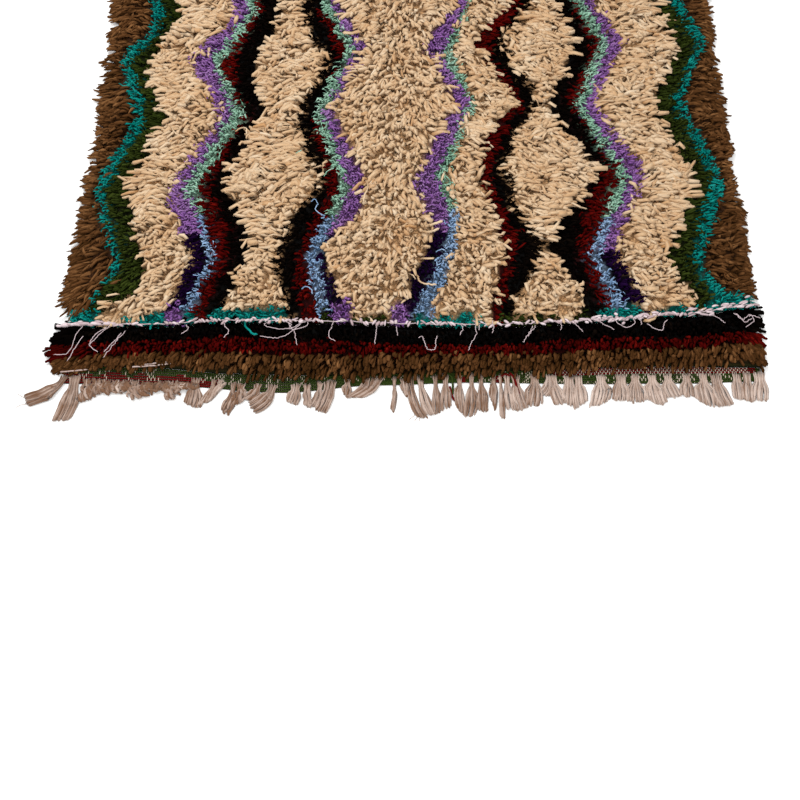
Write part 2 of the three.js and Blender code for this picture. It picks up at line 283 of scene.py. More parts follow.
# Yarns: what a user would change for each. form is how it stands in the pile, radius is in
# millimetres, proud is how far above the pile it stands, bloom is its haze of loose fibre, and
# glow is the share of the light that comes through it.
# deep is also the colour of the painted shade at a yarn's root, and more glow makes that painted shade
# lighter
yarns = {
    "cream": {"deep": "#BC8A57", "mid": "#D5B48E", "light": "#E8D4B8", "form": "tuft", "radius": 3.75,
              "proud": 2.0, "bloom": 0.12, "glow": 0.2},
    "brown": {"deep": "#35200B", "mid": "#58381E", "light": "#8C623C", "form": "comb", "radius": 3.1,
              "proud": 0.5, "bloom": 0.03, "glow": 0.15},
    "black": {"deep": "#030202", "mid": "#080504", "light": "#120C08", "form": "fluff", "radius": 2.3,
              "proud": -3.0, "bloom": 0.0, "glow": 0.0},
    "red": {"deep": "#2C0402", "mid": "#480706", "light": "#70140D", "form": "fluff", "radius": 2.3,
            "proud": -1.5, "bloom": 0.0, "glow": 0.1},
    "green": {"deep": "#0E1203", "mid": "#273010", "light": "#434E1E", "form": "fluff", "radius": 2.2,
              "proud": -0.5, "bloom": 0.0, "glow": 0.1},
    "purple": {"deep": "#643681", "mid": "#9968AC", "light": "#BF98CB", "form": "curl", "radius": 1.95,
               "proud": 0.5, "bloom": 0.08, "glow": 0.25},
    "mint": {"deep": "#5C9A7C", "mid": "#9CC8AE", "light": "#C4E2D2", "form": "curl", "radius": 1.7,
             "proud": 0.5, "bloom": 0.08, "glow": 0.25},
    "teal": {"deep": "#045E58", "mid": "#08827A", "light": "#2CAAA0", "form": "curl", "radius": 1.85,
             "proud": 0.0, "bloom": 0.05, "glow": 0.2},
    "blue": {"deep": "#54789F", "mid": "#96B5D8", "light": "#B2CCE8", "form": "curl", "radius": 1.7,
             "proud": 0.5, "bloom": 0.08, "glow": 0.25},
    "aubergine": {"deep": "#0C0318", "mid": "#160622", "light": "#240E36", "form": "fluff",
                  "radius": 2.2, "proud": -2.0, "bloom": 0.0, "glow": 0.05},
}


# What the yarn materials share
def yarnTree(name):  # a new material, its tree, its mesh's yarn attribute and its coordinates
    material = bpy.data.materials.new(name)
    material.use_nodes = True
    tree = material.node_tree
    tree.nodes.clear()
    yarn = addNode(tree, "ShaderNodeAttribute", {"attribute_name": "yarn"}, {})
    return material, tree, yarn.outputs["Color"], addNode(tree, "ShaderNodeTexCoord", {}, {}).outputs


def maths(tree, operation, *values):
    return addNode(tree, "ShaderNodeMath", {"operation": operation}, dict(enumerate(values))).outputs[0]


def ranged(tree, value, fromLow, fromHigh, toLow, toHigh):
    return addNode(tree, "ShaderNodeMapRange", {}, {
        "Value": value, "From Min": fromLow, "From Max": fromHigh, "To Min": toLow,
        "To Max": toHigh}).outputs["Result"]


def scaled(tree, colour, share):
    return addNode(tree, "ShaderNodeVectorMath", {"operation": "SCALE"}, {
        0: colour, "Scale": share}).outputs["Vector"]


def bumped(tree, height, strength, distance):
    return addNode(tree, "ShaderNodeBump", {}, {
        "Height": height, "Strength": strength, "Distance": distance}).outputs["Normal"]


def ramped(tree, value, stops):  # a colour ramp through stops of (position, hex colour)
    ramp = addNode(tree, "ShaderNodeValToRGB", {}, {"Fac": value})
    elements = ramp.color_ramp.elements
    for element, (position, colour) in zip(elements, (stops[0], stops[-1])):
        element.position = position
        element.color = linear(colour)
    for position, colour in stops[1:-1]:
        elements.new(position).color = linear(colour)
    return ramp.outputs["Color"]


def stretched(tree, place, scale):  # the yarn's own coordinates: around it, and along it in metres
    return addNode(tree, "ShaderNodeMapping", {}, {
        "Vector": place["UV"], "Scale": scale}).outputs["Vector"]


def fibres(tree, place, scale, roughness=0.5):  # fine streaks along the yarn
    return addNode(tree, "ShaderNodeTexNoise", {}, {
        "Vector": stretched(tree, place, scale), "Scale": 1.0, "Detail": 2.0,
        "Roughness": roughness}).outputs["Fac"]


def plied(tree, place, ply, strength):  # the slant of the yarn's plies, which turn once in ply metres
    plies = addNode(tree, "ShaderNodeTexWave", {"bands_direction": "DIAGONAL"}, {
        "Vector": stretched(tree, place, (2.0, 1 / ply, 1.0)), "Scale": 0.31, "Distortion": 1.0,
        "Detail": 1.0})
    return bumped(tree, plies.outputs["Fac"], strength, 0.4 * mm)


def surfaced(tree, inputs):
    shader = addNode(tree, "ShaderNodeBsdfPrincipled", {}, inputs)
    addNode(tree, "ShaderNodeOutputMaterial", {}, {"Surface": shader.outputs["BSDF"]})


def woolMaterial(name, dye):
    # Soft spun wool, dyed in the hank: matt, a little uneven, with painted shade that darkens it
    # towards its root, a faint bloom of loose fibre and the slant of its plies.
    material, tree, yarn, place = yarnTree(name)
    parts = addNode(tree, "ShaderNodeSeparateColor", {}, {"Color": yarn}).outputs
    tone, along = parts["Red"], parts["Green"]
    tone = maths(tree, "MULTIPLY_ADD", fibres(tree, place, (5.0, 90.0, 1.0), 0.6), 0.5, tone)
    tone = maths(tree, "SUBTRACT", tone, 0.05)
    # painted shade: near the root the tone falls towards the deep colour
    tone = maths(tree, "ADD", tone, ranged(tree, along, 0.15, 0.6, -0.35, 0.0))
    colour = ramped(tree, tone, [(0.1, dye["deep"]), (0.55, dye["mid"]), (1.0, dye["light"])])
    # painted shade: darker towards the root, less so the more light comes through the yarn
    colour = scaled(tree, colour, ranged(tree, along, 0.0, 0.7, 0.52 + 1.2 * dye["glow"], 1.0))
    shader = addNode(tree, "ShaderNodeBsdfPrincipled", {}, {
        "Base Color": colour, "Normal": plied(tree, place, 7 * mm, 0.35), "Roughness": 0.9,
        "Specular IOR Level": 0.5 * dye["bloom"], "Sheen Weight": dye["bloom"], "Sheen Roughness": 0.5,
        "Sheen Tint": linear(dye["light"])})
    lit = addNode(tree, "ShaderNodeBsdfTranslucent", {}, {"Color": colour})
    mixed = addNode(tree, "ShaderNodeMixShader", {}, {
        0: dye["glow"], 1: shader.outputs["BSDF"], 2: lit.outputs["BSDF"]})
    addNode(tree, "ShaderNodeOutputMaterial", {}, {"Surface": mixed.outputs["Shader"]})
    return material


# Strands: a tapered yarn end is modelled once, and arrays bend a copy of it to each place

def strandModel(sides, stations):
    # a closed yarn of unit radius, with its rings at the stations along it and a point at its tip
    bm = bmesh.new()
    bmesh.ops.create_circle(bm, cap_ends=True, segments=sides, radius=1)
    ring = bm.edges[:]
    for station in stations[1:]:
        made = bmesh.ops.extrude_edge_only(bm, edges=ring)["geom"]
        points = [g for g in made if isinstance(g, bmesh.types.BMVert)]
        ring = [g for g in made if isinstance(g, bmesh.types.BMEdge)]
        for point in points:
            point.co.z = station
    bmesh.ops.pointmerge(bm, verts=points, merge_co=(0, 0, stations[-1]))
    bmesh.ops.recalc_face_normals(bm, faces=bm.faces)
    bmesh.ops.triangulate(bm, faces=bm.faces)
    bm.verts.index_update()
    places = np.array([v.co[:] for v in bm.verts])
    faces = np.array([[v.index for v in f.verts] for f in bm.faces])
    bm.free()
    around = (np.arctan2(places[:, 1], places[:, 0]) / (2 * math.pi)) % 1
    corners = around[faces]
    corners[(corners.max(axis=1) - corners.min(axis=1) > 0.5)[:, None] & (corners < 0.5)] += 1
    station = np.array([int(np.argmin(abs(np.array(stations) - z))) for z in places[:, 2]])
    angle = np.arctan2(places[:, 1], places[:, 0])
    isTip = np.hypot(places[:, 0], places[:, 1]) < 0.1
    return {"faces": faces, "around": corners, "station": station, "angle": angle,
            "stations": np.array(stations), "isTip": isTip}


def strandsAlong(model, centres, radii, tones, turns, flatness=1.0):
    # centres are strands x stations x 3, and radii are strands x stations
    count = len(centres)
    tangent = np.gradient(centres, axis=1)
    tangent /= np.linalg.norm(tangent, axis=2, keepdims=True) + 1e-9
    across = np.cross(tangent, centres[:, -1:] - centres[:, :1] + np.array([0, 0, 0.02]))
    across += np.array([1e-5, 2e-5, 0])
    across /= np.linalg.norm(across, axis=2, keepdims=True)
    upward = np.cross(across, tangent)
    s = model["station"]
    angle = model["angle"][None, :] + turns[:, None]
    reach = np.where(model["isTip"][None, :], 0, radii[:, s])
    points = centres[:, s] + reach[..., None] * (
        np.cos(angle)[..., None] * across[:, s] + flatness * np.sin(angle)[..., None] * upward[:, s])
    points[..., 2] = np.maximum(points[..., 2], 0.2 * mm)  # nothing lies under the floor
    steps = np.linalg.norm(np.diff(centres, axis=1), axis=2)
    lengths = np.concatenate([np.zeros((count, 1)), np.cumsum(steps, axis=1)], axis=1)
    faces = model["faces"][None] + (np.arange(count) * len(s))[:, None, None]
    v = lengths[:, s][:, model["faces"]]
    u = np.broadcast_to(model["around"][None], v.shape)
    dye = np.zeros(points.shape[:2] + (4,))
    dye[..., 0] = tones[:, None]
    # how far along its strand each point is, which sets the wool's painted shade towards the root
    dye[..., 1] = model["stations"][s][None, :]
    dye[..., 3] = 1
    return {"points": points.reshape(-1, 3), "faces": faces.reshape(-1, 3),
            "uv": np.stack([u, v], -1).reshape(-1, 2), "dye": dye.reshape(-1, 4)}


def joined(groups):  # several groups of strands as one
    offset, faces = 0, []
    for g in groups:
        faces.append(g["faces"] + offset)
        offset += len(g["points"])
    made = {key: np.concatenate([g[key] for g in groups]) for key in ("points", "uv", "dye")}
    made["faces"] = np.concatenate(faces)
    return made


def piece(name, made, material, node):  # a smooth mesh piece in the scene, on the rug
    mesh = bpy.data.meshes.new(name)
    mesh.vertices.add(len(made["points"]))
    mesh.vertices.foreach_set("co", made["points"].astype(np.float32).ravel())
    mesh.loops.add(made["faces"].size)
    mesh.loops.foreach_set("vertex_index", made["faces"].astype(np.int32).ravel())
    mesh.polygons.add(len(made["faces"]))
    mesh.polygons.foreach_set("loop_start", np.arange(0, made["faces"].size, 3, dtype=np.int32))
    mesh.update(calc_edges=True)
    mesh.uv_layers.new(name="UVMap").data.foreach_set("uv", made["uv"].astype(np.float32).ravel())
    coloured(mesh, made["dye"])
    mesh.materials.append(material)
    return placed(newObject(name, mesh), node)


def placed(obj, node):  # rides on the rug, and stands for its CAD solid
    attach(obj, "root")
    if node:
        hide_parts(node)
    return obj


# The knotted pile of the field. Its sizes are in millimetres, but for where the far half's wider
# rows begin and are reached, which is in metres; limit is the triangles that one piece may have.
pile = {"rootHeight": 2.5, "limit": 190000, "farFrom": 0.03, "farOver": 0.16, "farStep": 1.45}
# How the pile lies, in millimetres from root to tip: to both sides, towards the fringe, how that
# drifts, more of it along the parting and at the near left corner, by the join and at the far end
lie = {"aside": 29.0, "near": 9.0, "drift": 8, "parting": 9, "corner": 14, "join": 5, "farEnd": 14}
# The forms of yarn. lean is how much of the pile's lie a tuft follows, reach and inner are how far
# along its lie the pattern is read, splay is how far its strands open, hook is how much it bends
# and kink how unevenly, clump is the size of the locks that tips draw into and pull how strongly
# they do, fuller is how much thicker it is near the join, rim is how many more knots stand along
# each side, and tumble is how much more it scatters along the parting.
forms = {
    # soft, thick yarn that lies over in one piece
    "tuft": {"stations": [0, 0.34, 0.66, 0.95, 1], "widths": [0.8, 1.0, 1.04, 1.0, 0],
             "row": 10.6, "pitch": 5.2, "seed": 11, "strands": 1, "lean": 0.92, "reach": 0.88,
             "scatter": 4.4, "kink": 0.8, "splay": (0, 0), "unruly": 0.07, "hook": 5.2, "clump": 14,
             "pull": 0.3, "inner": 0.6, "vary": 0.28, "swirl": 0.5,
             "fuller": -0.08, "rim": 0, "tumble": 0.9},
    "comb": {"stations": [0, 0.36, 0.68, 0.92, 1], "widths": [0.8, 1.0, 0.95, 0.7, 0],
             "row": 11.0, "pitch": 5.0, "seed": 13, "strands": 1, "lean": 1.0, "reach": 0.8,
             "scatter": 4.0, "kink": 0.7, "splay": (0, 0), "unruly": 0.04, "hook": 2.8, "clump": 15,
             "pull": 0.35, "inner": 0.45, "vary": 0.22, "swirl": 0.3,
             "fuller": 0.05, "rim": 420, "tumble": 0},
    # softer yarns, whose ends open into a few fluffy strands
    "fluff": {"stations": [0, 0.45, 0.8, 1], "widths": [0.8, 1.0, 0.9, 0],
              "row": 10.6, "pitch": 8.2, "seed": 14, "strands": 3, "lean": 0.6, "reach": 0.5,
              "scatter": 2.5, "kink": 1.0, "splay": (1, 7), "unruly": 0.0, "hook": 2.0, "clump": 9,
              "pull": 0.2, "inner": 0.5, "vary": 0.18, "swirl": 0.2,
              "fuller": 0.1, "rim": 0, "tumble": 0},
    # fine, crinkled yarns in curly knots
    "curl": {"stations": [0, 0.42, 0.76, 1], "widths": [0.8, 1.0, 0.95, 0],
             "row": 10.5, "pitch": 8.0, "seed": 12, "strands": 4, "lean": 0.4, "reach": 0.4,
             "scatter": 1.2, "kink": 1.8, "splay": (1.5, 7.5), "unruly": 0.0, "hook": 2.4, "clump": 9,
             "pull": 0.0, "inner": 0.4, "vary": 0.2, "swirl": 0.3,
             "fuller": 0.0, "rim": 0, "tumble": 0},
}
for form in forms.values():
    form["model"] = strandModel(3, form["stations"])


def nearSeam(x, y):
    return 1 - ease(y - lineY(rug["seam"], x), 30 * mm, 220 * mm)


def leanAt(x, y):  # which way the pile lies, metres in x and y from root to tip
    u = (x - relief["partingX"]) / (70 * mm)
    aside = lie["aside"] * np.tanh(u) * (1 + 0.25 * wander(x, y, 0.16, 21))
    toward = -lie["near"] * (1 - 0.5 * ease(x, 0.1, 0.5)) + lie["drift"] * wander(x, y, 0.1, 22)
    toward = toward - lie["parting"] * hump(x, -0.03, 0.1)
    toward = toward - lie["corner"] * (1 - ease(x, -0.56, -0.3)) * (1 - ease(y, -0.62, -0.5))
    nearCentre = hump(x, -0.05, 0.13) * (1 - ease(y, -0.5, -0.35))
    aside, toward = aside * (1 - 0.5 * nearCentre), toward * (1 - 0.15 * nearCentre)
    aside = aside * (1 - 0.5 * nearSeam(x, y) * (1 - 1.2 * ease(np.abs(x), 0.48, 0.55)))
    fromSeam = ease(y - lineY(rug["seam"], x), 4 * mm, 45 * mm)
    toward = toward * fromSeam - lie["join"] * (1 - fromSeam)
    farEnd = ease(y, hemStart - 0.05, hemStart)
    return aside * mm, (toward * (1 - farEnd) + lie["farEnd"] * farEnd) * mm


def farStep(y):  # rows are laid further apart, in fuller yarn, over the rug's far half
    return 1 + (pile["farStep"] - 1) * ease(y, pile["farFrom"], pile["farOver"])


def knotGrid(form):
    rng = np.random.default_rng(form["seed"])
    row, pitch = form["row"] * mm, form["pitch"] * mm
    start = min(y for _, y in rug["seam"]) * mm
    ys = [start]
    while ys[-1] < hemStart:
        ys.append(ys[-1] + row * farStep(ys[-1]))
    ys = np.array(ys)
    xs = np.arange(-rug["halfWidth"], rug["halfWidth"], pitch)
    x, y = np.meshgrid(xs, ys)
    x = x + (np.arange(len(ys)) % 2)[:, None] * pitch / 2
    x = x + rng.uniform(-0.4, 0.4, x.shape) * pitch
    y = y + rng.uniform(-0.3, 0.3, y.shape) * row
    x, y = x.ravel(), y.ravel()
    # one more row along the join, and more knots along the rug's sides
    joinX = np.arange(-rug["halfWidth"], rug["halfWidth"], pitch)
    x = np.append(x, joinX)
    y = np.append(y, lineY(rug["seam"], joinX) + rng.uniform(2.2, 5, len(joinX)) * mm)
    rimY = start + (hemStart - start) * rng.uniform(0, 1, 2 * form["rim"]) ** 1.4
    rimX = (rug["halfWidth"] - rng.uniform(5, 24, 2 * form["rim"]) * mm)
    x = np.append(x, rimX * rng.choice([-1, 1], 2 * form["rim"]))
    y = np.append(y, rimY)
    inside = (y > lineY(rug["seam"], x) + 2 * mm) & (y < hemStart - 2 * mm)
    inside &= np.abs(x) < rug["halfWidth"] + sideWander(y) - 3 * mm
    return x[inside], y[inside]


# How tips gather near the pile's edge, in millimetres: how far past the charted edge that is at
# the left and right, from how far within it they gather, how far they reach and how gently, and
# how far past it a few lie
hold = {"left": 8, "right": 5, "within": 16, "most": 15, "over": 14, "stray": 9}


def heldIn(tipX, tipY, rng):
    left, right = (np.array(pileEdge[side]).T * mm for side in ("left", "right"))
    edge = np.where(tipX < 0, np.interp(tipY, *left) + hold["left"] * mm,
                    np.interp(tipY, *right) + hold["right"] * mm)
    inner = edge - hold["within"] * mm
    beyond = np.maximum(np.abs(tipX) - inner, 0)
    gathered = hold["most"] * mm * (1 - np.exp(-beyond / (hold["over"] * mm)))
    stray = rng.uniform(0, 1, len(tipX)) ** 7 * hold["stray"] * mm * (beyond > 0)
    return np.sign(tipX) * (np.minimum(np.abs(tipX), inner) + gathered + stray)


def clumped(tipX, tipY, size, pull):  # neighbouring tips draw together into locks
    cellX, cellY = np.floor(tipX / size), np.floor(tipY / size)
    middleX = (cellX + 0.5 + 0.3 * wander(cellX, cellY, 3, 81)) * size
    middleY = (cellY + 0.5 + 0.3 * wander(cellX, cellY, 3, 82)) * size
    return tipX + pull * (middleX - tipX), tipY + pull * (middleY - tipY)


def overSide(tipX):  # a tip's share of its height, which is less past the ground weave's side
    return 1 - 0.45 * ease(np.abs(tipX), rug["halfWidth"] - 4 * mm, rug["halfWidth"] + 22 * mm)


def laidOver(root, tip, top, t, power, droop):  # yarns that rise from the ground and lie over
    flat = root[:, None] + (tip - root)[:, None] * (t ** power)[None, :, None]
    low = pile["rootHeight"] * mm
    rise = 1 - (1 - t) ** 2.3 - droop
    return flat, low + (top - low)[:, None] * rise[None, :]


def pileStrands(x, y, name, rng):
    yarn = yarns[name]
    form = forms[yarn["form"]]
    centreX, centreY = np.repeat(x, form["strands"]), np.repeat(y, form["strands"])
    n = len(centreX)
    leanX, leanY = leanAt(centreX, centreY)
    unruly = rng.random(n) < form["unruly"]
    long = rng.normal(1, form["vary"], n).clip(0.3, 1.6) * form["lean"] * np.where(unruly, 0.6, 1)
    turnBy = rng.normal(0, 0.16, n) + unruly * rng.normal(0, 1.6, n)
    turnBy += form["swirl"] * wander(centreX, centreY, 0.055, 24)
    leanX, leanY = (leanX * np.cos(turnBy) - leanY * np.sin(turnBy),
                    leanX * np.sin(turnBy) + leanY * np.cos(turnBy))
    splayTurn, splay = rng.uniform(0, 2 * math.pi, n), rng.uniform(*form["splay"], n) * mm
    scatter = form["scatter"] * mm * (1 + form["tumble"] * hump(centreX, -0.04, 0.13))
    tipX = centreX + leanX * long + rng.normal(0, 1, n) * scatter + splay * np.cos(splayTurn)
    tipY = centreY + leanY * long + rng.normal(0, 1, n) * scatter + splay * np.sin(splayTurn)
    root = np.stack([centreX + 0.2 * splay * np.cos(splayTurn),
                     centreY + 0.2 * splay * np.sin(splayTurn)], -1)
    tipX, tipY = clumped(tipX, tipY, form["clump"] * mm, form["pull"])
    tipY = np.maximum(tipY, lineY(rug["seam"], tipX) - rng.uniform(-6, 3, n) * mm)
    tipX = heldIn(tipX, tipY, rng)
    top = pileTop(np.clip(tipX, -rug["halfWidth"], rug["halfWidth"]), tipY)
    top = top + (yarn["proud"] + rng.uniform(-4.5, 2.5, n)) * mm - 0.25 * splay
    t = np.array(form["stations"])
    flat, z = laidOver(root, np.stack([tipX, tipY], -1), top * overSide(tipX), t, 1.3, 0.18 * t ** 4)
    swayTurn = rng.uniform(0, 2 * math.pi, n)
    sway = rng.normal(0, form["hook"] * mm, n)[:, None] * (np.sin(math.pi * t) + 0.4 * t)[None, :]
    sway = sway + rng.normal(0, 0.4 * form["hook"] * mm, n)[:, None] * np.sin(2 * math.pi * t)[None, :]
    kink = rng.normal(0, form["kink"] * mm, (n, len(t), 3)) * (t > 0.1)[None, :, None]
    flat[..., 0] += np.cos(swayTurn)[:, None] * sway + kink[..., 0]
    flat[..., 1] += np.sin(swayTurn)[:, None] * sway + kink[..., 1]
    z = z + 0.7 * kink[..., 2]
    centres = atHeight(flat, z)
    thick = yarn["radius"] * mm * rng.normal(1, 0.2, n).clip(0.5, 1.6)
    thick = thick * (1 + 0.5 * (farStep(centreY) - 1) + form["fuller"] * nearSeam(centreX, centreY))
    radii = thick[:, None] * np.array(form["widths"])[None, :]
    radii[:, -2] *= rng.uniform(0.7, 1.12, n)
    knotTone = np.repeat(rng.normal(0, 0.05, len(x)), form["strands"])
    tones = 0.38 + 0.08 * wander(centreX, centreY, 0.09, 31) + knotTone + rng.normal(0, 0.08, n)
    if yarn["form"] == "comb":
        # painted shade: darker and lighter stripes about 21 mm apart, in the creases between the combed rows
        ripple = (centreY + 5 * mm * wander(centreX, centreY, 0.1, 33)) / 0.021
        tones += 0.14 * np.sin(2 * math.pi * ripple)
    return strandsAlong(form["model"], centres, radii, tones.clip(0, 0.75), rng.uniform(0, 6.28, n))


materials = {name: woolMaterial(f"{name} spun wool pile", dye) for name, dye in yarns.items()}

grids = {kind: knotGrid(form) for kind, form in forms.items()}
total = 0
for index, name in enumerate(yarnNames):
    form = forms[yarns[name]["form"]]
    rng = np.random.default_rng(100 + index)
    x, y = grids[yarns[name]["form"]]
    leanX, leanY = leanAt(x, y)
    here = np.ones(len(x), bool)
    for reach in (form["reach"], form["inner"]):
        here &= yarnAt(x + reach * leanX, y + reach * leanY) == index
    x, y = x[here], y[here]
    parts = math.ceil(len(x) * form["strands"] * len(form["model"]["faces"]) / pile["limit"])
    order = np.argsort(y, kind="stable")
    for i, share in enumerate(np.array_split(order, parts)):
        made = pileStrands(x[share], y[share], name, rng)
        label = f"pile_{name}" + (f"_{i + 1}" if parts > 1 else "")
        piece(label, made, materials[name], "pile_field")
        total += len(made["faces"])
        print(label, len(share), "knots", len(made["faces"]), "triangles")
print("field pile", total, "triangles")


# The field's ground weave, coloured by the knots in it
def groundMaterial(name):
    # Cotton warps and wool wefts packed hard round the knots: matt, finely ribbed across, with painted shade
    # in the furrows between the ribs.
    material, tree, yarn, place = yarnTree(name)
    ribs = addNode(tree, "ShaderNodeTexWave", {"bands_direction": "Y"}, {
        "Vector": place["Object"], "Scale": 40.0, "Distortion": 1.5, "Detail": 2.0,
        "Detail Scale": 8.0}).outputs["Fac"]
    surfaced(tree, {
        "Base Color": scaled(tree, yarn, ranged(tree, ribs, 0.0, 1.0, 0.45, 0.9)),
        "Normal": bumped(tree, ribs, 0.6, 0.8 * mm), "Roughness": 0.95, "Specular IOR Level": 0.15})
    return material


def packedMaterial(name):
    # Soft spun wool packed low between the tufts: matt, in small lumps, with painted shade in the gaps
    # between them and painted light on their tops.
    material, tree, yarn, place = yarnTree(name)
    lumps = addNode(tree, "ShaderNodeTexVoronoi", {}, {"Vector": place["Object"], "Scale": 210.0})
    shade = ranged(tree, lumps.outputs["Distance"], 0.0, 0.7, 1.15, 0.35)
    surfaced(tree, {
        "Base Color": scaled(tree, yarn, shade), "Normal": bumped(tree, shade, 1.0, 3 * mm),
        "Roughness": 0.95, "Specular IOR Level": 0.1})
    return material


def clothGrid(name, columns, rows, nearLine, farLine, bottom, thick, colourAt, heightAt=None):
    # a closed sheet between two lines across the rug, with a colour at each point
    bm = bmesh.new()
    bmesh.ops.create_grid(bm, x_segments=columns, y_segments=rows, size=1)
    for v in bm.verts:
        side = rug["halfWidth"]
        x = v.co.x * side
        near, far = float(nearLine(x)), float(farLine(x))
        y = near + (far - near) * (v.co.y + 1) / 2
        v.co = (x + float(sideWander(y)) * v.co.x * 0.6, y, bottom)
    top = bm.faces[:]
    made = bmesh.ops.extrude_face_region(bm, geom=top)["geom"]
    raised = [g for g in made if isinstance(g, bmesh.types.BMVert)]
    x = np.array([v.co.x for v in raised])
    y = np.array([v.co.y for v in raised])
    heights = thick + (heightAt(x, y) if heightAt else np.zeros(len(raised)))
    for v, height in zip(raised, heights):
        v.co.z += height
    bmesh.ops.recalc_face_normals(bm, faces=bm.faces)
    mesh = bpy.data.meshes.new(name)
    bm.to_mesh(mesh)
    bm.free()
    co = np.zeros(len(mesh.vertices) * 3, np.float32)
    mesh.vertices.foreach_get("co", co)
    co = co.reshape(-1, 3).astype(float)
    coloured(mesh, colourAt(co[:, 0], co[:, 1]))
    return newObject(name, mesh)


groundWool = groundMaterial("packed wool and cotton ground weave")
midColours = np.array([linear(yarns[n]["mid"]) for n in yarnNames])


# How the yarns' middle colours are darkened as painted shade in the ground and low in the pile
paintedShades = {"field": [0.9, 0.78, 0.66, 1], "border": [0.55, 0.5, 0.45, 1], "packed": [0.5, 0.46, 0.44, 1],
          "packedCream": [1.0, 0.84, 0.68, 1]}


def fieldColour(x, y):
    # the yarn's colour, darkened as painted shade
    return midColours[yarnAt(x, y)] * np.array(paintedShades["field"])


def packedColour(x, y):  # the colour low in the pile, under the tips of the knots that lean over it
    # painted shade: the yarn's colour darkened low in the pile
    leanX, leanY = leanAt(x, y)
    found = yarnAt(x + 0.5 * leanX, y + 0.5 * leanY)
    isCream = (found == yarnNames.index("cream"))[:, None]
    return midColours[found] * np.where(isCream, [paintedShades["packedCream"]], [paintedShades["packed"]])


def packedHeight(x, y):
    side = ease(rug["halfWidth"] - np.abs(x), 3 * mm, 22 * mm)
    return (0.48 * pileTop(x, y) - 3 * mm) * side + 1.6 * mm * wander(x, y, 0.018, 26) * side


packed = clothGrid("pile_packed_low", 84, 96, lineAt(rug["seam"], 1.5 * mm),
                   lambda x: hemStart - 1 * mm, 2 * mm, 2.2 * mm, packedColour, packedHeight)
packed.data.materials.append(packedMaterial("packed lower half of the pile"))
placed(packed, "pile_field")

ground = clothGrid("field_ground_weave", 30, 40, lineAt(rug["seam"], 1 * mm),
                   lambda x: hemStart, 0.2 * mm, 3 * mm, fieldColour)
ground.data.materials.append(groundWool)
placed(ground, "pile_field")
print("field ground laid")


# The border strip's pile, knotted on its own ground in rows of three colours that follow one
# another towards the fringe. For each, in millimetres: its rows, knots and yarn, how far its end
# tufts reach out at the left, how its tufts lie, how far up its two limits are moved, and the line
# across the rug where it ends.
border = {
    "black": {"row": 9.0, "pitch": 5.0, "radius": 3.0, "outward": 26, "toward": 9, "aside": 0,
              "nearUp": 4, "farUp": -0.5,
              "end": [(-600, -767), (-400, -762), (-300, -752), (-200, -760), (100, -770), (300, -754),
                      (450, -750), (600, -736)]},
    "red": {"row": 6.5, "pitch": 4.0, "radius": 2.4, "outward": 34, "toward": 12, "aside": -1,
            "nearUp": 6, "farUp": 3,
            "end": [(-600, -790), (-400, -783), (-200, -785), (200, -781), (400, -774), (600, -757)]},
    # the brown tips end above the flat weave
    "brown": {"row": 6.0, "pitch": 4.6, "radius": 3.1, "outward": 17, "toward": 21, "aside": -5,
              "nearUp": 16, "farUp": 4,
              "end": [(-600, -810), (-560, -815), (-480, -813), (-440, -809), (-395, -808),
                      (-330, -817), (-250, -825), (-150, -830), (0, -826), (200, -815), (400, -803),
                      (600, -799)]},
}
borderSeed = 41
endTufts = 70  # more tufts towards the strip's two ends, which spread over the floor


def borderGrid(strip, nearLine, farLine, seed):
    rng = np.random.default_rng(seed)
    pitch = strip["pitch"] * mm
    xs = np.arange(-rug["halfWidth"] + 3 * mm, rug["halfWidth"], pitch)
    count = max(1, round(float(np.mean(farLine(xs) - nearLine(xs))) / (strip["row"] * mm)))
    share = (np.arange(count) + 0.5) / count
    x, share = np.meshgrid(xs, share)
    x = x + rng.uniform(-0.4, 0.4, x.shape) * pitch
    share = share + rng.uniform(-0.3, 0.3, x.shape) / count
    ends = rng.choice([-1, 1], endTufts) * (rug["halfWidth"] - rng.uniform(3, 26, endTufts) * mm)
    x, share = np.append(x.ravel(), ends), np.append(share.ravel(), rng.uniform(0, 1, endTufts))
    return x, nearLine(x) + (farLine(x) - nearLine(x)) * share


def borderStrands(x, y, name, rng):
    strip, n = border[name], len(x)
    long = rng.normal(1, 0.18, n).clip(0.5, 1.5)
    outward = np.where(x < 0, strip["outward"], 16) * ease(np.abs(x), 0.52, 0.583) * np.sign(x)
    toward = strip["toward"] * (1 - 1.5 * (1 - ease(lineY(rug["seam"], x) - y, 2 * mm, 14 * mm)))
    tipX = x + (strip["aside"] + outward * 1.2) * mm * long + rng.normal(0, 4.5 * mm, n)
    tipY = y - toward * mm * long + rng.normal(0, 4 * mm, n)
    tipX = heldIn(tipX, tipY, rng)
    inside = np.clip(tipX, -rug["halfWidth"], rug["halfWidth"])
    over = lineY(rug["pileStart"], inside) - tipY
    top = pileTop(inside, np.maximum(tipY, lineY(rug["pileStart"], inside)))
    top = top + (yarns[name]["proud"] + rng.uniform(-4.0, 2.5, n)) * mm
    top = top * overSide(tipX) * (1 - 0.62 * ease(over, -12 * mm, 16 * mm))
    form = forms["tuft"]
    t = np.array(form["stations"])
    flat, z = laidOver(np.stack([x, y], -1), np.stack([tipX, tipY], -1), top, t, 1.2, 0.16 * t ** 5)
    flat = flat + rng.normal(0, 0.7 * mm, flat.shape) * (t > 0.1)[None, :, None]
    centres = atHeight(flat, z)
    thick = strip["radius"] * mm * rng.normal(1, 0.15, n).clip(0.6, 1.5)
    radii = thick[:, None] * np.array(form["widths"])[None, :]
    tones = (0.22 + 0.16 * wander(x, y, 0.06, 32) + rng.normal(0, 0.15, n)).clip(0, 0.8)
    return strandsAlong(form["model"], centres, radii, tones, rng.uniform(0, 6.28, n))


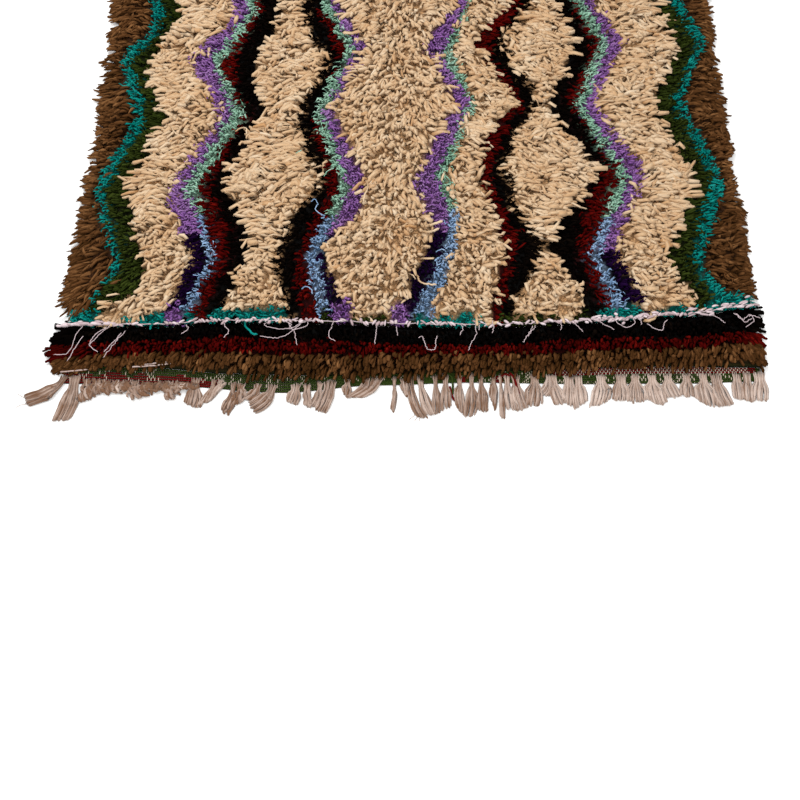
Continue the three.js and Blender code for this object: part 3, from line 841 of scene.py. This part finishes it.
farLine = rug["seam"]
for i, (name, strip) in enumerate(border.items()):
    x, y = borderGrid(strip, lineAt(strip["end"], strip["nearUp"] * mm),
                      lineAt(farLine, strip["farUp"] * mm), borderSeed + 5 + i)
    y = np.minimum(y, lineY(rug["seam"], x) - 0.5 * mm)
    made = borderStrands(x, y, name, np.random.default_rng(borderSeed + i))
    piece(f"border_{name}_pile", made, materials[name], "end_border")
    print(f"border_{name}_pile", len(x), "tufts", len(made["faces"]), "triangles")
    farLine = strip["end"]


def borderColour(x, y):
    found = np.where(y > lineY(border["black"]["end"], x), yarnNames.index("black"), yarnNames.index("red"))
    found = np.where(y < lineY(border["red"]["end"], x), yarnNames.index("brown"), found)
    found = np.where(y < lineY(border["brown"]["end"], x) + 12 * mm, yarnNames.index("green"), found)
    # the yarn's colour, darkened as painted shade
    return midColours[found] * np.array(paintedShades["border"])


borderGround = clothGrid("border_ground_weave", 52, 5, lineAt(rug["pileStart"], 1 * mm),
                         lineAt(rug["seam"], -1 * mm), 0.2 * mm, 3 * mm, borderColour)
borderGround.data.materials.append(groundWool)
placed(borderGround, "end_border")
print("border strip made")

# Flat weave: each warp and weft is a yarn that passes over and under, in millimetres. The wefts
# are packed so that they hide the warps, but for runs where the warps show as light dots.
weave = {"warpPitch": 3.1, "weftPitch": 3.7, "warpRadius": 0.85, "weftRadius": 1.8, "middle": 1.9,
         "swing": 0.5, "shown": 1.75}
# under and hemUnder colour the cloths beneath the threads, darker than the threads as painted shade between
# them
weaveDyes = {"green": "#2E3C16", "red": "#5C0C0C", "pink": "#BDA8A0", "dusty": "#B09A92",
             "warp": "#C9B8A6", "under": "#141A0A", "hem": "#C9B59C", "hemUnder": "#6E6252"}


def oneDye(dye):  # a colouring that is the same at every point
    return lambda x, *_: np.tile(np.array(linear(weaveDyes[dye])), (len(x), 1))


def weaveMaterial(name):
    # Handspun weft over cotton warp, seen as small round beads of yarn: matt, a little uneven.
    material, tree, yarn, place = yarnTree(name)
    fibre = addNode(tree, "ShaderNodeTexNoise", {}, {
        "Vector": place["Object"], "Scale": 500.0, "Detail": 3.0})
    shade = ranged(tree, fibre.outputs["Fac"], 0.3, 0.7, 0.65, 1.15)
    surfaced(tree, {
        "Base Color": scaled(tree, yarn, shade), "Roughness": 0.95, "Specular IOR Level": 0.05})
    return material


quarterTurn = 1.571  # how far the section of these yarns is turned, in radians
weaveWool = weaveMaterial("flat woven wool weft on cotton warp")


def wovenBand(name, nearLine, farLine, colourAt, shownAt, spacing, node, under="under"):
    half = rug["halfWidth"] - 1.5 * mm
    warps = int(2 * half / (spacing * weave["warpPitch"] * mm))
    xs = np.linspace(-half, half, warps)
    depth = float(np.mean(farLine(xs) - nearLine(xs)))
    wefts = max(3, round(depth / (spacing * weave["weftPitch"] * mm)))
    shares = (np.arange(wefts) + 0.5) / wefts
    near, far = nearLine(xs), farLine(xs)
    middle = weave["middle"] * mm
    # wefts, each with its ends closed at the edges
    ys = near[None] + (far - near)[None] * shares[:, None]
    sign = 1 - 2 * ((np.arange(warps)[None] + np.arange(wefts)[:, None]) % 2)
    centres = np.stack([np.repeat(xs[None], wefts, axis=0), ys, middle + weave["swing"] * mm * sign], -1)
    model = strandModel(3, np.linspace(0, 1, warps))
    thick = weave["weftRadius"] * math.sqrt(spacing) * mm
    weft = strandsAlong(model, centres, np.full((wefts, warps), 1.1 * thick), np.zeros(wefts),
                        np.full(wefts, quarterTurn), 0.75)
    weft["dye"] = colourAt(weft["points"][:, 0], np.repeat(shares, len(model["station"])))
    # warps
    steps = np.concatenate([[0], shares, [1]])
    model = strandModel(3, np.linspace(0, 1, wefts + 2))
    ys = near[:, None] + (far - near)[:, None] * steps[None]
    sign = 1 - 2 * ((np.arange(warps)[:, None] + np.arange(wefts + 2)[None] - 1) % 2)
    shown = shownAt(xs[:, None], steps[None])
    height = np.where(shown, middle - weave["shown"] * mm * sign, 0.9 * mm)
    centres = np.stack([np.repeat(xs[:, None], wefts + 2, axis=1), ys, np.maximum(height, 0.9 * mm)], -1)
    radii = np.full((warps, wefts + 2), weave["warpRadius"] * mm)
    warp = strandsAlong(model, centres, radii, np.zeros(warps), np.full(warps, quarterTurn))
    warp["dye"] = oneDye("warp")(warp["points"])
    made = joined([weft, warp])
    threads = piece(name + "_threads", made, weaveWool, node)
    print(name, wefts, "wefts", len(made["faces"]), "triangles")
    # a darker cloth under the threads: painted shade in the gaps between them
    cloth = clothGrid(name + "_cloth", 40, 2, nearLine, farLine, 0.3 * mm, 1.2 * mm, oneDye(under))
    cloth.data.materials.append(weaveWool)
    placed(cloth, node)
    return cloth, threads


def nearWeaveColour(x, share):  # green, with dark red runs near its outer edge and at the right
    u = x / mm
    red = (u < -322) & (share < 0.58 + 0.12 * wander(x, x * 0, 0.03, 57))
    red |= (u > 235) & (u < 575) & (share > 0.52)
    red |= (u > 75) & (u < 172) & (wander(x, x * 0, 0.03, 51) > 0.1) & (share < 0.6)
    colours = np.array([linear(weaveDyes["green"]), linear(weaveDyes["red"])])
    return colours[red.astype(int)]


def nearWarpsShow(x, share):
    u = x / mm
    fleck = wander(x, share * 0.1, 0.006, 55)
    shown = (u > 250) & (u < 560) & (share > 0.5)
    shown |= (u > 250) & (u < 560) & (fleck > 0.1)
    shown |= (u < -330) & (share > 0.3) & (wander(x, x * 0, 0.03, 54) + fleck > 0.75)
    shown |= (u > 100) & (u < 250) & (wander(x, x * 0, 0.03, 52) + fleck > 0.5)
    shown |= (u > -350) & (u < -180) & (share > 0.3) & (wander(x, x * 0, 0.02, 53) + fleck > 0.5)
    shown |= (u > -180) & (u < 100) & (share > 0.4) & (fleck > 0.55)
    return shown


picks = [  # (dye, radius, rise, points across and along the rug), millimetres
    ("dusty", 1.3, 5, [(-586, -820), (-566, -818), (-540, -815)]),
    ("pink", 1.4, 9, [(-466, -812), (-430, -809), (-394, -804)]),
    ("pink", 1.2, 10, [(-448, -808), (-425, -805), (-398, -801)]),
    ("green", 2.0, 0, [(58, -815), (66, -826), (67, -843), (66, -858)]),
    ("red", 1.9, 0, [(62, -840), (66, -858), (70, -868)]),
    ("red", 2.2, 0, [(162, -815), (169, -825), (174, -843), (179, -858)]),
    ("red", 2.0, 0, [(148, -822), (155, -818), (163, -822)]),
]


cloth, threads = wovenBand("near_weave", lineAt(rug["nearEdge"]), lineAt(rug["pileStart"]),
                           nearWeaveColour, nearWarpsShow, 1.0, "near_flat_weave")
pickSteps = 12
groups = []
for dye, radius, rise, points in picks:  # they lie over the brown tips, and down on the weave
    line = through(points, pickSteps)
    height = 4.9 - 2.7 * ease(-line[:, 1], 832, 842) + rise
    height = height + 0.3 * rise * np.sin(np.arange(pickSteps) * 1.9) / 5
    line = atHeight(line, height)[None] * mm
    pick = strandsAlong(strandModel(5, np.linspace(0, 1, pickSteps)), line,
                        np.full((1, pickSteps), radius * mm), np.zeros(1), np.zeros(1))
    pick["dye"] = oneDye(dye)(pick["points"])
    groups.append(pick)
piece("weave_picks", joined(groups), weaveWool, None)


def hemAt(x):
    return hemStart + 0.3 * mm + x * 0


def farEndAt(x):
    return rug["farEdge"] + 1.5 * mm * np.sin(x / mm / 90)


def noWarpsShow(x, share):
    return (x + share) * 0 > 1


cloth, threads = wovenBand("far_hem", hemAt, farEndAt, oneDye("hem"), noWarpsShow, 1.9, "far_flat_weave",
                           "hemUnder")


# Cotton and wool threads with rounded ends: the whipping, its loose ends and the fringe
def threadMaterial(name, deep, light, ply, strength):
    # Soft handspun cotton: matt, creased along its length, with a faint twist.
    material, tree, yarn, place = yarnTree(name)
    parts = addNode(tree, "ShaderNodeSeparateColor", {}, {"Color": yarn})
    fibre = fibres(tree, place, (7.0, 60.0, 1.0))
    tone = maths(tree, "MULTIPLY_ADD", fibre, 0.6, parts.outputs["Red"])
    surfaced(tree, {
        "Base Color": ramped(tree, tone, [(0.2, deep), (0.9, light)]),
        "Normal": plied(tree, place, ply, strength), "Roughness": 0.85, "Specular IOR Level": 0.2,
        "Sheen Weight": 0.15})
    return material


whipCotton = threadMaterial("pinkish white whipping yarn", "#9C8284", "#DCCDD0", 5 * mm, 0.5)
# the fringe's deep colour is also the painted shade low in the bunches' folds
fringeCotton = threadMaterial("undyed cotton warp", "#70503A", "#CFBCB0", 9 * mm, 0.2)


# The whipping in runs, in millimetres: from, to, the stitches' pitch and radius, how far they
# scatter, how much they slant, and how many of them are hidden in the pile
whipRuns = [
    (-602, -505, 7, 3.1, 0.7, 0.1, 0.1),
    (-505, -425, 6, 2.0, 1.5, 0.5, 0.45),
    (-425, -345, 5.5, 2.0, 1.6, 0.7, 0.3),
    (-345, -150, 5.5, 2.2, 1.9, 0.9, 0.25),
    (-150, -100, 9, 1.7, 1.5, 0.5, 0.5),
    (-100, 10, 6, 2.4, 2.3, 1.3, 0.15),
    (10, 250, 6, 1.9, 1.8, 0.7, 0.4),
    (250, 480, 5.2, 2.4, 2.1, 0.7, 0.1),
    (290, 440, 9, 2.0, 2.5, 0.35, 0.1),
    (480, 583, 8, 2.1, 3.4, 0.3, 0),
    (-582, -500, 7, 2.1, 2.6, 0.25, 0),
    (470, 590, 7, 1.7, 4.0, 0.3, 0),
]
# Loose ends, each through its points: millimetres right of the middle, along the rug
looseEnds = [
    [(-558, -736), (-562, -752), (-573, -788), (-600, -793)],
    [(-550, -763), (-562, -785), (-575, -806)],
    [(-505, -730), (-513, -737), (-532, -770), (-538, -780), (-522, -793)],
    [(-517, -738), (-535, -765), (-537, -780)],
    [(-483, -748), (-497, -772), (-513, -803)],
    [(-489, -753), (-505, -778), (-513, -792)],
    [(-382, -733), (-378, -745), (-388, -757)],
    [(-318, -730), (-316, -740), (-308, -752), (-316, -764)],
    [(-210, -728), (-205, -740), (-198, -752), (-193, -776)],
    [(-247, -728), (-250, -736), (-232, -744), (-205, -743), (-190, -730), (-180, -727)],
    [(-255, -762), (-235, -764), (-214, -758), (-199, -744), (-188, -731)],
    [(-215, -725), (-205, -733), (-208, -743)],
    [(-177, -727), (-180, -738), (-199, -746)],
    [(-134, -723), (-136, -742), (-140, -762), (-128, -770)],
    [(-60, -733), (-61, -748), (-63, -776)],
    [(-27, -735), (-26, -745), (-25, -756)],
    [(10, -763), (16, -762), (22, -780), (28, -786), (38, -784), (38, -772), (42, -760)],
    [(75, -728), (84, -733), (84, -744), (79, -756)],
    [(108, -722), (106, -742), (108, -752), (98, -770), (93, -786)],
    [(113, -730), (112, -744)],
    [(135, -722), (137, -738), (134, -752)],
    [(203, -733), (198, -748), (187, -766), (185, -771)],
    [(207, -731), (204, -742), (192, -760)],
    [(250, -721), (252, -734), (249, -744)],
    [(272, -721), (280, -738), (286, -750)],
    [(318, -716), (322, -733), (333, -742), (338, -747)],
    [(340, -713), (350, -733), (362, -740), (376, -729), (374, -714)],
    [(378, -712), (386, -722), (386, -734)],
    [(395, -731), (405, -740), (420, -744), (424, -730), (432, -722)],
    [(510, -713), (520, -722), (528, -730)],
    [(545, -708), (558, -722), (572, -710), (578, -722), (561, -736)],
    [(548, -709), (562, -726), (576, -716)],
    [(590, -716), (578, -711), (570, -714)],
]
# Dyed ends that hang from the field's first rows: yarn, radius and points
tails = [
    ("teal", 1.9, [(-284, -726), (-281, -742), (-268, -757), (-258, -759)]),
    ("teal", 1.7, [(-442, -730), (-441, -748)]),
    ("teal", 2.0, [(12, -726), (12, -738)]),
    ("cream", 2.8, [(-498, -712), (-506, -724), (-512, -738)]),
    ("cream", 2.6, [(-222, -716), (-226, -730)]),
    ("cream", 2.8, [(108, -712), (110, -733)]),
    ("cream", 2.8, [(205, -712), (213, -728)]),
    ("cream", 2.8, [(250, -706), (258, -728)]),
]
# Long yarns that lie in curls on the pile, in the same way
strays = [
    ("blue", 0.9, [(-181, -485), (-174, -479), (-169, -489), (-172, -503), (-159, -516)]),
    ("mint", 0.9, [(-160, -430), (-153, -418), (-142, -412)]),
    ("cream", 1.5, [(-84, -436), (-80, -452), (-85, -469), (-88, -487)]),
    ("cream", 2.0, [(-48, -539), (-40, -543), (-41, -553), (-34, -562)]),
    ("cream", 2.8, [(18, -538), (36, -530), (54, -523)]),
    ("cream", 2.4, [(18, -549), (34, -547), (48, -538)]),
    ("cream", 1.7, [(8, -639), (16, -653), (42, -657)]),
    ("blue", 1.0, [(-189, -670), (-183, -664), (-174, -668), (-170, -678)]),
    ("blue", 1.0, [(41, -593), (50, -587), (58, -589)]),
    ("cream", 1.4, [(-458, -309), (-446, -318), (-437, -332), (-418, -339)]),
    ("cream", 1.4, [(-326, -330), (-319, -322), (-308, -320), (-305, -336)]),
    ("teal", 1.0, [(-557, -210), (-546, -218), (-533, -215)]),
    ("mint", 1.0, [(-213, -378), (-202, -371)]),
]


def thread(points, radius, lift, count, tone=0.25):  # one yarn that lies along the pile's face
    line = through(points, count)
    line[1:-1] += rng.normal(0, 0.55, (count - 2, 2))
    line = line * mm
    height = pileTop(line[:, 0], line[:, 1]) + lift * mm
    centres = atHeight(line, height)[None]
    radii = np.full((1, count), radius * mm)
    radii[0, 0] *= 0.7
    model = strandModel(4, np.linspace(0, 1, count))
    return strandsAlong(model, centres, radii, np.array([tone]), np.array([0.3]))


# How far the wraps may reach and how high they lie, in millimetres; they lie lower at both ends
whip = {"left": -604, "right": 600, "height": 15, "endDrop": 5}
rng = np.random.default_rng(61)
stitch = {"stations": [0, 0.12, 0.35, 0.65, 0.88, 1], "widths": [0.35, 0.8, 1.05, 1.0, 0.75, 0]}
share = np.array(stitch["stations"]) * 2 - 1
centres, radii = [], []
for start, end, pitch, radius, scatter, slant, hidden in whipRuns:
    for u in np.arange(start, end, pitch):
        if rng.random() < hidden:
            continue
        u = u + rng.normal(0, 0.25) * pitch
        turn = slant * rng.choice([-1, 1]) * rng.uniform(0.4, 1.2)
        half = pitch * rng.uniform(0.6, 1.1)
        px = np.clip(u + half * share * math.cos(turn), whip["left"], whip["right"]) * mm
        py = lineY(rug["seam"], px) + (half * share * math.sin(turn) + rng.normal(0, scatter)) * mm
        arch = rng.uniform(0.5, 1.8) * (1 - share ** 2) * mm
        high = (whip["height"] - whip["endDrop"] * ease(abs(u), 570, 600)) * mm
        pz = high + arch + rng.normal(0, 0.9) * mm
        centres.append(np.stack([px, py, pz], -1))
        radii.append(radius * rng.uniform(0.6, 1.25) * mm * np.array(stitch["widths"]))
tones = rng.uniform(0.0, 0.5, len(centres))
groups = [strandsAlong(strandModel(6, stitch["stations"]), np.array(centres), np.array(radii), tones,
                       np.zeros(len(centres)))]
for points in looseEnds:
    groups.append(thread(points, 0.68, 3.6, 6 * len(points)))
# one more yarn all along the join, a little wavy
seamLine = [(u, float(lineY(rug["seam"], u * mm)) / mm + 0.8 * math.sin(u / 9)) for u in range(-580, 585, 20)]
groups.append(thread(seamLine, 0.95, 0.6, 150))
made = joined(groups)
piece("whipping", made, whipCotton, "whipping_yarn")
print("whipping", len(centres), "stitches", len(made["faces"]), "triangles")
for label, ends, lift, steps, tone in [("tail", tails, 3.4, 4, 0.45), ("stray", strays, 4.5, 6, 0.6)]:
    for i, (yarn, radius, points) in enumerate(ends):
        made = thread(points, radius, lift, steps * len(points), tone)
        piece(f"pile_{label}_{i + 1}", made, materials[yarn], None)

# The fringe, bunch by bunch, in millimetres: where its warps leave the weave, from and to; where
# its two ends lie, across and along the rug; how far it is rounded; and how crumpled it is, to 1
fringe = [
    [-586, -573, -643, -634, -858, -880, 2, 0.25],
    [-572, -552, -591, -560, -906, -904, 1, 0.12],
    [-549, -534, -546, -530, -867, -861, 3, 0.7],
    [-534, -517, -533, -516, -859, -852, 3, 0.7],
    [-516, -501, -514, -497, -852, -848, 3, 0.9],
    [-499, -484, -498, -482, -848, -848, 3, 0.9],
    [-484, -469, -484, -467, -846, -844, 3, 0.9],
    [-469, -453, -465, -449, -861, -855, 3, 0.8],
    [-451, -428, -448, -427, -855, -844, 3, 0.9],
    [-424, -408, -420, -404, -848, -846, 3, 0.9],
    [-409, -389, -406, -387, -862, -853, 3, 0.8],
    [-388, -365, -384, -361, -844, -844, 3, 1],
    [-368, -353, -377, -351, -871, -882, 2, 0.15],
    [-334, -326, -355, -329, -879, -864, 2, 0.12],
    [-323, -315, -339, -315, -871, -841, 2, 0.12],
    [-301, -293, -315, -301, -886, -893, 2, 0.35],
    [-292, -277, -300, -278, -877, -867, 2, 0.35],
    [-264, -249, -280, -265, -860, -869, 2, 0.25],
    [-240, -222, -270, -255, -871, -893, 2, 0.12],
    [-202, -185, -209, -190, -867, -874, 2, 0.15],
    [-182, -167, -180, -167, -874, -880, 2, 0.2],
    [-159, -147, -170, -157, -872, -881, 2, 0.12],
    [-147, -126, -161, -142, -883, -890, 2, 0.1],
    [-114, -102, -115, -103, -853, -863, 2, 0.15],
    [-84, -47, -110, -83, -859, -861, 3, 0.1],
    [-34, -26, -35, -30, -879, -886, 2, 0.1],
    [-22, -6, -16, -7, -851, -859, 2, 0.3],
    [-16, 3, 9, 24, -897, -897, 2, 0.1],
    [6, 19, 24, 39, -893, -891, 2, 0.1],
    [33, 43, 35, 47, -890, -888, 2, 0.08],
    [49, 61, 47, 64, -884, -877, 2, 0.08],
    [73, 83, 72, 86, -875, -897, 2, 0.08],
    [94, 103, 83, 106, -891, -891, 6, 0.08],
    [109, 118, 109, 126, -884, -885, 3, 0.05],
    [132, 139, 128, 137, -854, -884, 0, 0.15],
    [144, 149, 145, 153, -896, -898, 2, 0.08],
    [151, 163, 154, 172, -880, -883, 3, 0.1],
    [163, 179, 169, 190, -883, -878, 2, 0.1],
    [196, 211, 184, 210, -872, -874, 3, 0.08],
    [222, 234, 211, 223, -850, -857, 2, 0.1],
    [230, 240, 236, 252, -874, -867, 2, 0.08],
    [253, 268, 250, 264, -865, -876, 2, 0.1],
    [269, 283, 267, 286, -881, -866, 2, 0.08],
    [306, 322, 292, 323, -877, -864, 3, 0.05],
    [338, 356, 330, 354, -862, -862, 4, 0.05],
    [363, 378, 354, 384, -864, -864, 4, 0.05],
    [391, 406, 389, 420, -860, -866, 10, 0.03],
    [418, 432, 419, 443, -858, -856, 3, 0.04],
    [450, 463, 445, 466, -853, -856, 3, 0.05],
    [477, 491, 470, 506, -860, -874, 8, 0.03],
    [495, 516, 503, 527, -873, -871, 3, 0.04],
    [533, 547, 532, 550, -858, -860, 3, 0.06],
    [550, 565, 548, 563, -861, -867, 2, 0.06],
    [568, 589, 561, 586, -861, -863, 2, 0.06],
]
# A bunch's strands: how far apart and how thick they are and how far up the weave they start, in
# millimetres; and, at the stations along them, how thick they are and how far they spread
lock = {
    "wide": 2.5, "radius": 2.5, "root": 15, "loose": 0.3,
    "stations": [0, 0.07, 0.15, 0.24, 0.33, 0.43, 0.54, 0.65, 0.76, 0.87, 0.96, 1],
    "widths": [0.35, 0.4, 0.48, 0.62, 0.85, 0.98, 1.02, 1.02, 1.0, 0.95, 0.8, 0],
    "spread": [1.0, 0.8, 0.4, 0.3, 0.5, 0.8, 1.0, 1.06, 1.06, 1.03, 1.0, 0.98],
}
rightPart, leftPart = 170, -550  # past these the bunches are fuller and lie side by side
rng = np.random.default_rng(71)
t = np.array(lock["stations"])
centres, radii, tones = [], [], []
for fromX, toX, leftX, rightX, leftY, rightY, belly, crumple in fringe:
    if fromX > rightPart or crumple > 0.5:
        leftX, rightX = leftX - 2, rightX + 2
    rootWide, endWide = toX - fromX, math.hypot(rightX - leftX, rightY - leftY)
    count = max(5, round(max(rootWide, endWide) * 1.15 / lock["wide"] * (1 - 0.15 * crumple)))
    bunchTone = rng.uniform(0.13, 0.35) - 0.28 * crumple - 0.13 * (fromX < rightPart)
    # the bunch's middle line, from its root on the weave to its end on the floor
    rootMiddle = (fromX + toX) / 2
    edgeY = float(lineY(rug["nearEdge"], rootMiddle * mm)) / mm
    a = np.array([rootMiddle, edgeY + lock["root"] * (1 - 0.7 * crumple)])
    c = np.array([(leftX + rightX) / 2, (leftY + rightY) / 2])
    b = np.array([a[0] + 0.15 * (c[0] - a[0]), a[1] + 0.6 * (c[1] - a[1]) - 4])
    line = ((1 - t) ** 2)[:, None] * a + (2 * t * (1 - t))[:, None] * b + (t * t)[:, None] * c
    # which way it spreads, and how widely
    turned = ease(t, 0.1, 0.6)[:, None]
    across = (1 - turned) * np.array([1, 0]) + turned * np.array([rightX - leftX, rightY - leftY]) / endWide
    wide = rootWide + (endWide - rootWide) * ease(t, 0.15, 0.5)
    sideBySide = fromX > rightPart or toX < leftPart
    pinch = lock["loose"] if sideBySide else float(np.clip(1.15 - rootWide / 24, 0.25, 0.7))
    wide = wide * (1 - pinch * (1 - np.array(lock["spread"])))
    folds, phase = max(1, round(endWide / 8)), rng.uniform(0, 6)
    ahead = (line[-1] - line[-2]) / np.linalg.norm(line[-1] - line[-2])
    for i in range(count):
        s = (i + rng.uniform(0.0, 1.0)) / count
        path = line + across * (wide * (s - 0.5))[:, None]
        path[0, 1] += rng.uniform(-3, 3)
        longer = belly * math.sin(math.pi * s) + rng.normal(0, 1.1 + crumple) + 3 * crumple
        path += ahead * (longer * ease(t, 0.5, 1))[:, None]
        fold = math.sin(2 * math.pi * folds * s + phase)
        path[:, 0] += 0.9 * np.sin(5 * t + phase) * ease(t, 0.2, 0.5) * (1 - crumple)
        path[:, 0] += 0.8 * np.sin(rng.uniform(3, 8) * t + rng.uniform(0, 6)) * ease(t, 0.1, 0.4)
        # crumpled strands curl in cords of three
        curl = 5 * crumple ** 1.5 * ease(t, 0.1, 0.35)
        spin = 13 * t + 2.2 * (i // 3) + rng.uniform(0, 0.5) + phase
        path[:, 0] += curl * np.cos(spin) + rng.normal(0, 0.15 + 0.3 * crumple, len(t)) * (t > 0.1)
        path[:, 1] += curl * np.sin(spin) + rng.normal(0, 0.1 + 0.3 * crumple, len(t)) * (t > 0.1)
        z = 1.4 + (1.1 + 0.9 * fold) * np.sin(math.pi * t * 0.93) + rng.uniform(0, 1.3) * ease(t, 0, 0.4)
        z = z + crumple * (2.2 + 1.6 * np.sin(spin * 1.3)) * ease(t, 0.1, 0.3)
        z = z + (4.8 - z) * (1 - ease(edgeY - path[:, 1], -3, 5))  # up on the weave
        centres.append(atHeight(path, z) * mm)
        thick = lock["radius"] * rng.uniform(0.8, 1.2) * (1 + 0.5 * crumple) * mm
        radii.append(np.array(lock["widths"]) * thick)
        # painted light and shade: strands high on a fold are lighter, those low in it darker
        tones.append(bunchTone + 0.13 * fold + rng.normal(0, 0.035 + 0.13 * crumple))
strands = strandsAlong(strandModel(3, lock["stations"]), np.array(centres), np.array(radii),
                       np.clip(np.array(tones), -0.2, 0.7), np.full(len(centres), quarterTurn), 0.7)
wisps = [  # single loose fibres beyond the bunches
    [(-632, -866), (-648, -861), (-657, -853)],
    [(-632, -876), (-646, -877), (-655, -884)],
    [(13, -883), (3, -893), (-8, -904)],
    [(14, -885), (8, -896), (1, -907)],
    [(15, -888), (12, -898), (11, -906)],
]
groups = [strands]
for points in wisps:
    line = atHeight(through(points, 6), np.full(6, 1.2))[None] * mm
    groups.append(strandsAlong(strandModel(3, np.linspace(0, 1, 6)), line, np.full((1, 6), 0.45 * mm),
                               np.array([0.1]), np.array([0.0])))
made = joined(groups)
piece("warp_fringe_bunches", made, fringeCotton, "warp_fringe")
print("fringe", len(centres), "strands", len(made["faces"]), "triangles")


# Floor, light and camera
def floorMaterial():
    # Matt white studio paper
    material = bpy.data.materials.new("matt white studio paper")
    material.use_nodes = True
    shader = material.node_tree.nodes["Principled BSDF"]
    shader.inputs["Base Color"].default_value = linear("#F7F7F6")
    shader.inputs["Roughness"].default_value = 0.95
    return material


studio = {
    "camera": {"place": (-0.0165, -1.6844, 1.6445), "pitch": 63.5, "yaw": 0.276, "lens": 50, "sensor": 36},
    "lights": [
        {"name": "softbox above", "place": (-0.9, 0.5, 2.4), "aim": (0, -0.3, 0), "size": 1.8, "power": 50},
        {"name": "fill from the front", "place": (0.35, -2.1, 2.1), "aim": (0, -0.3, 0), "size": 1.4,
         "power": 30},
    ],
    "sky": 0.8,
}

bm = bmesh.new()
bmesh.ops.create_grid(bm, x_segments=1, y_segments=1, size=6)
floorMesh = bpy.data.meshes.new("floor")
bm.to_mesh(floorMesh)
bm.free()
floorMesh.materials.append(floorMaterial())
floor = newObject("floor", floorMesh)

world = bpy.data.worlds.new("studio")
world.use_nodes = True
world.node_tree.nodes["Background"].inputs["Color"].default_value = (1, 1, 1, 1)
world.node_tree.nodes["Background"].inputs["Strength"].default_value = studio["sky"]
bpy.context.scene.world = world

for light in studio["lights"]:
    data = bpy.data.lights.new(light["name"], "AREA")
    data.shape = "SQUARE"
    data.size = light["size"]
    data.energy = light["power"]
    lamp = newObject(light["name"], data)
    lamp.location = light["place"]
    lamp.rotation_euler = (Vector(light["aim"]) - lamp.location).to_track_quat("-Z", "Y").to_euler()

lens = bpy.data.cameras.new("camera")
lens.lens = studio["camera"]["lens"]
lens.sensor_width = studio["camera"]["sensor"]
camera = newObject("camera", lens)
camera.location = studio["camera"]["place"]
camera.rotation_euler = (math.radians(90 - studio["camera"]["pitch"]), 0,
                         math.radians(studio["camera"]["yaw"]))
bpy.context.scene.camera = camera
bpy.context.scene.view_settings.view_transform = "Standard"
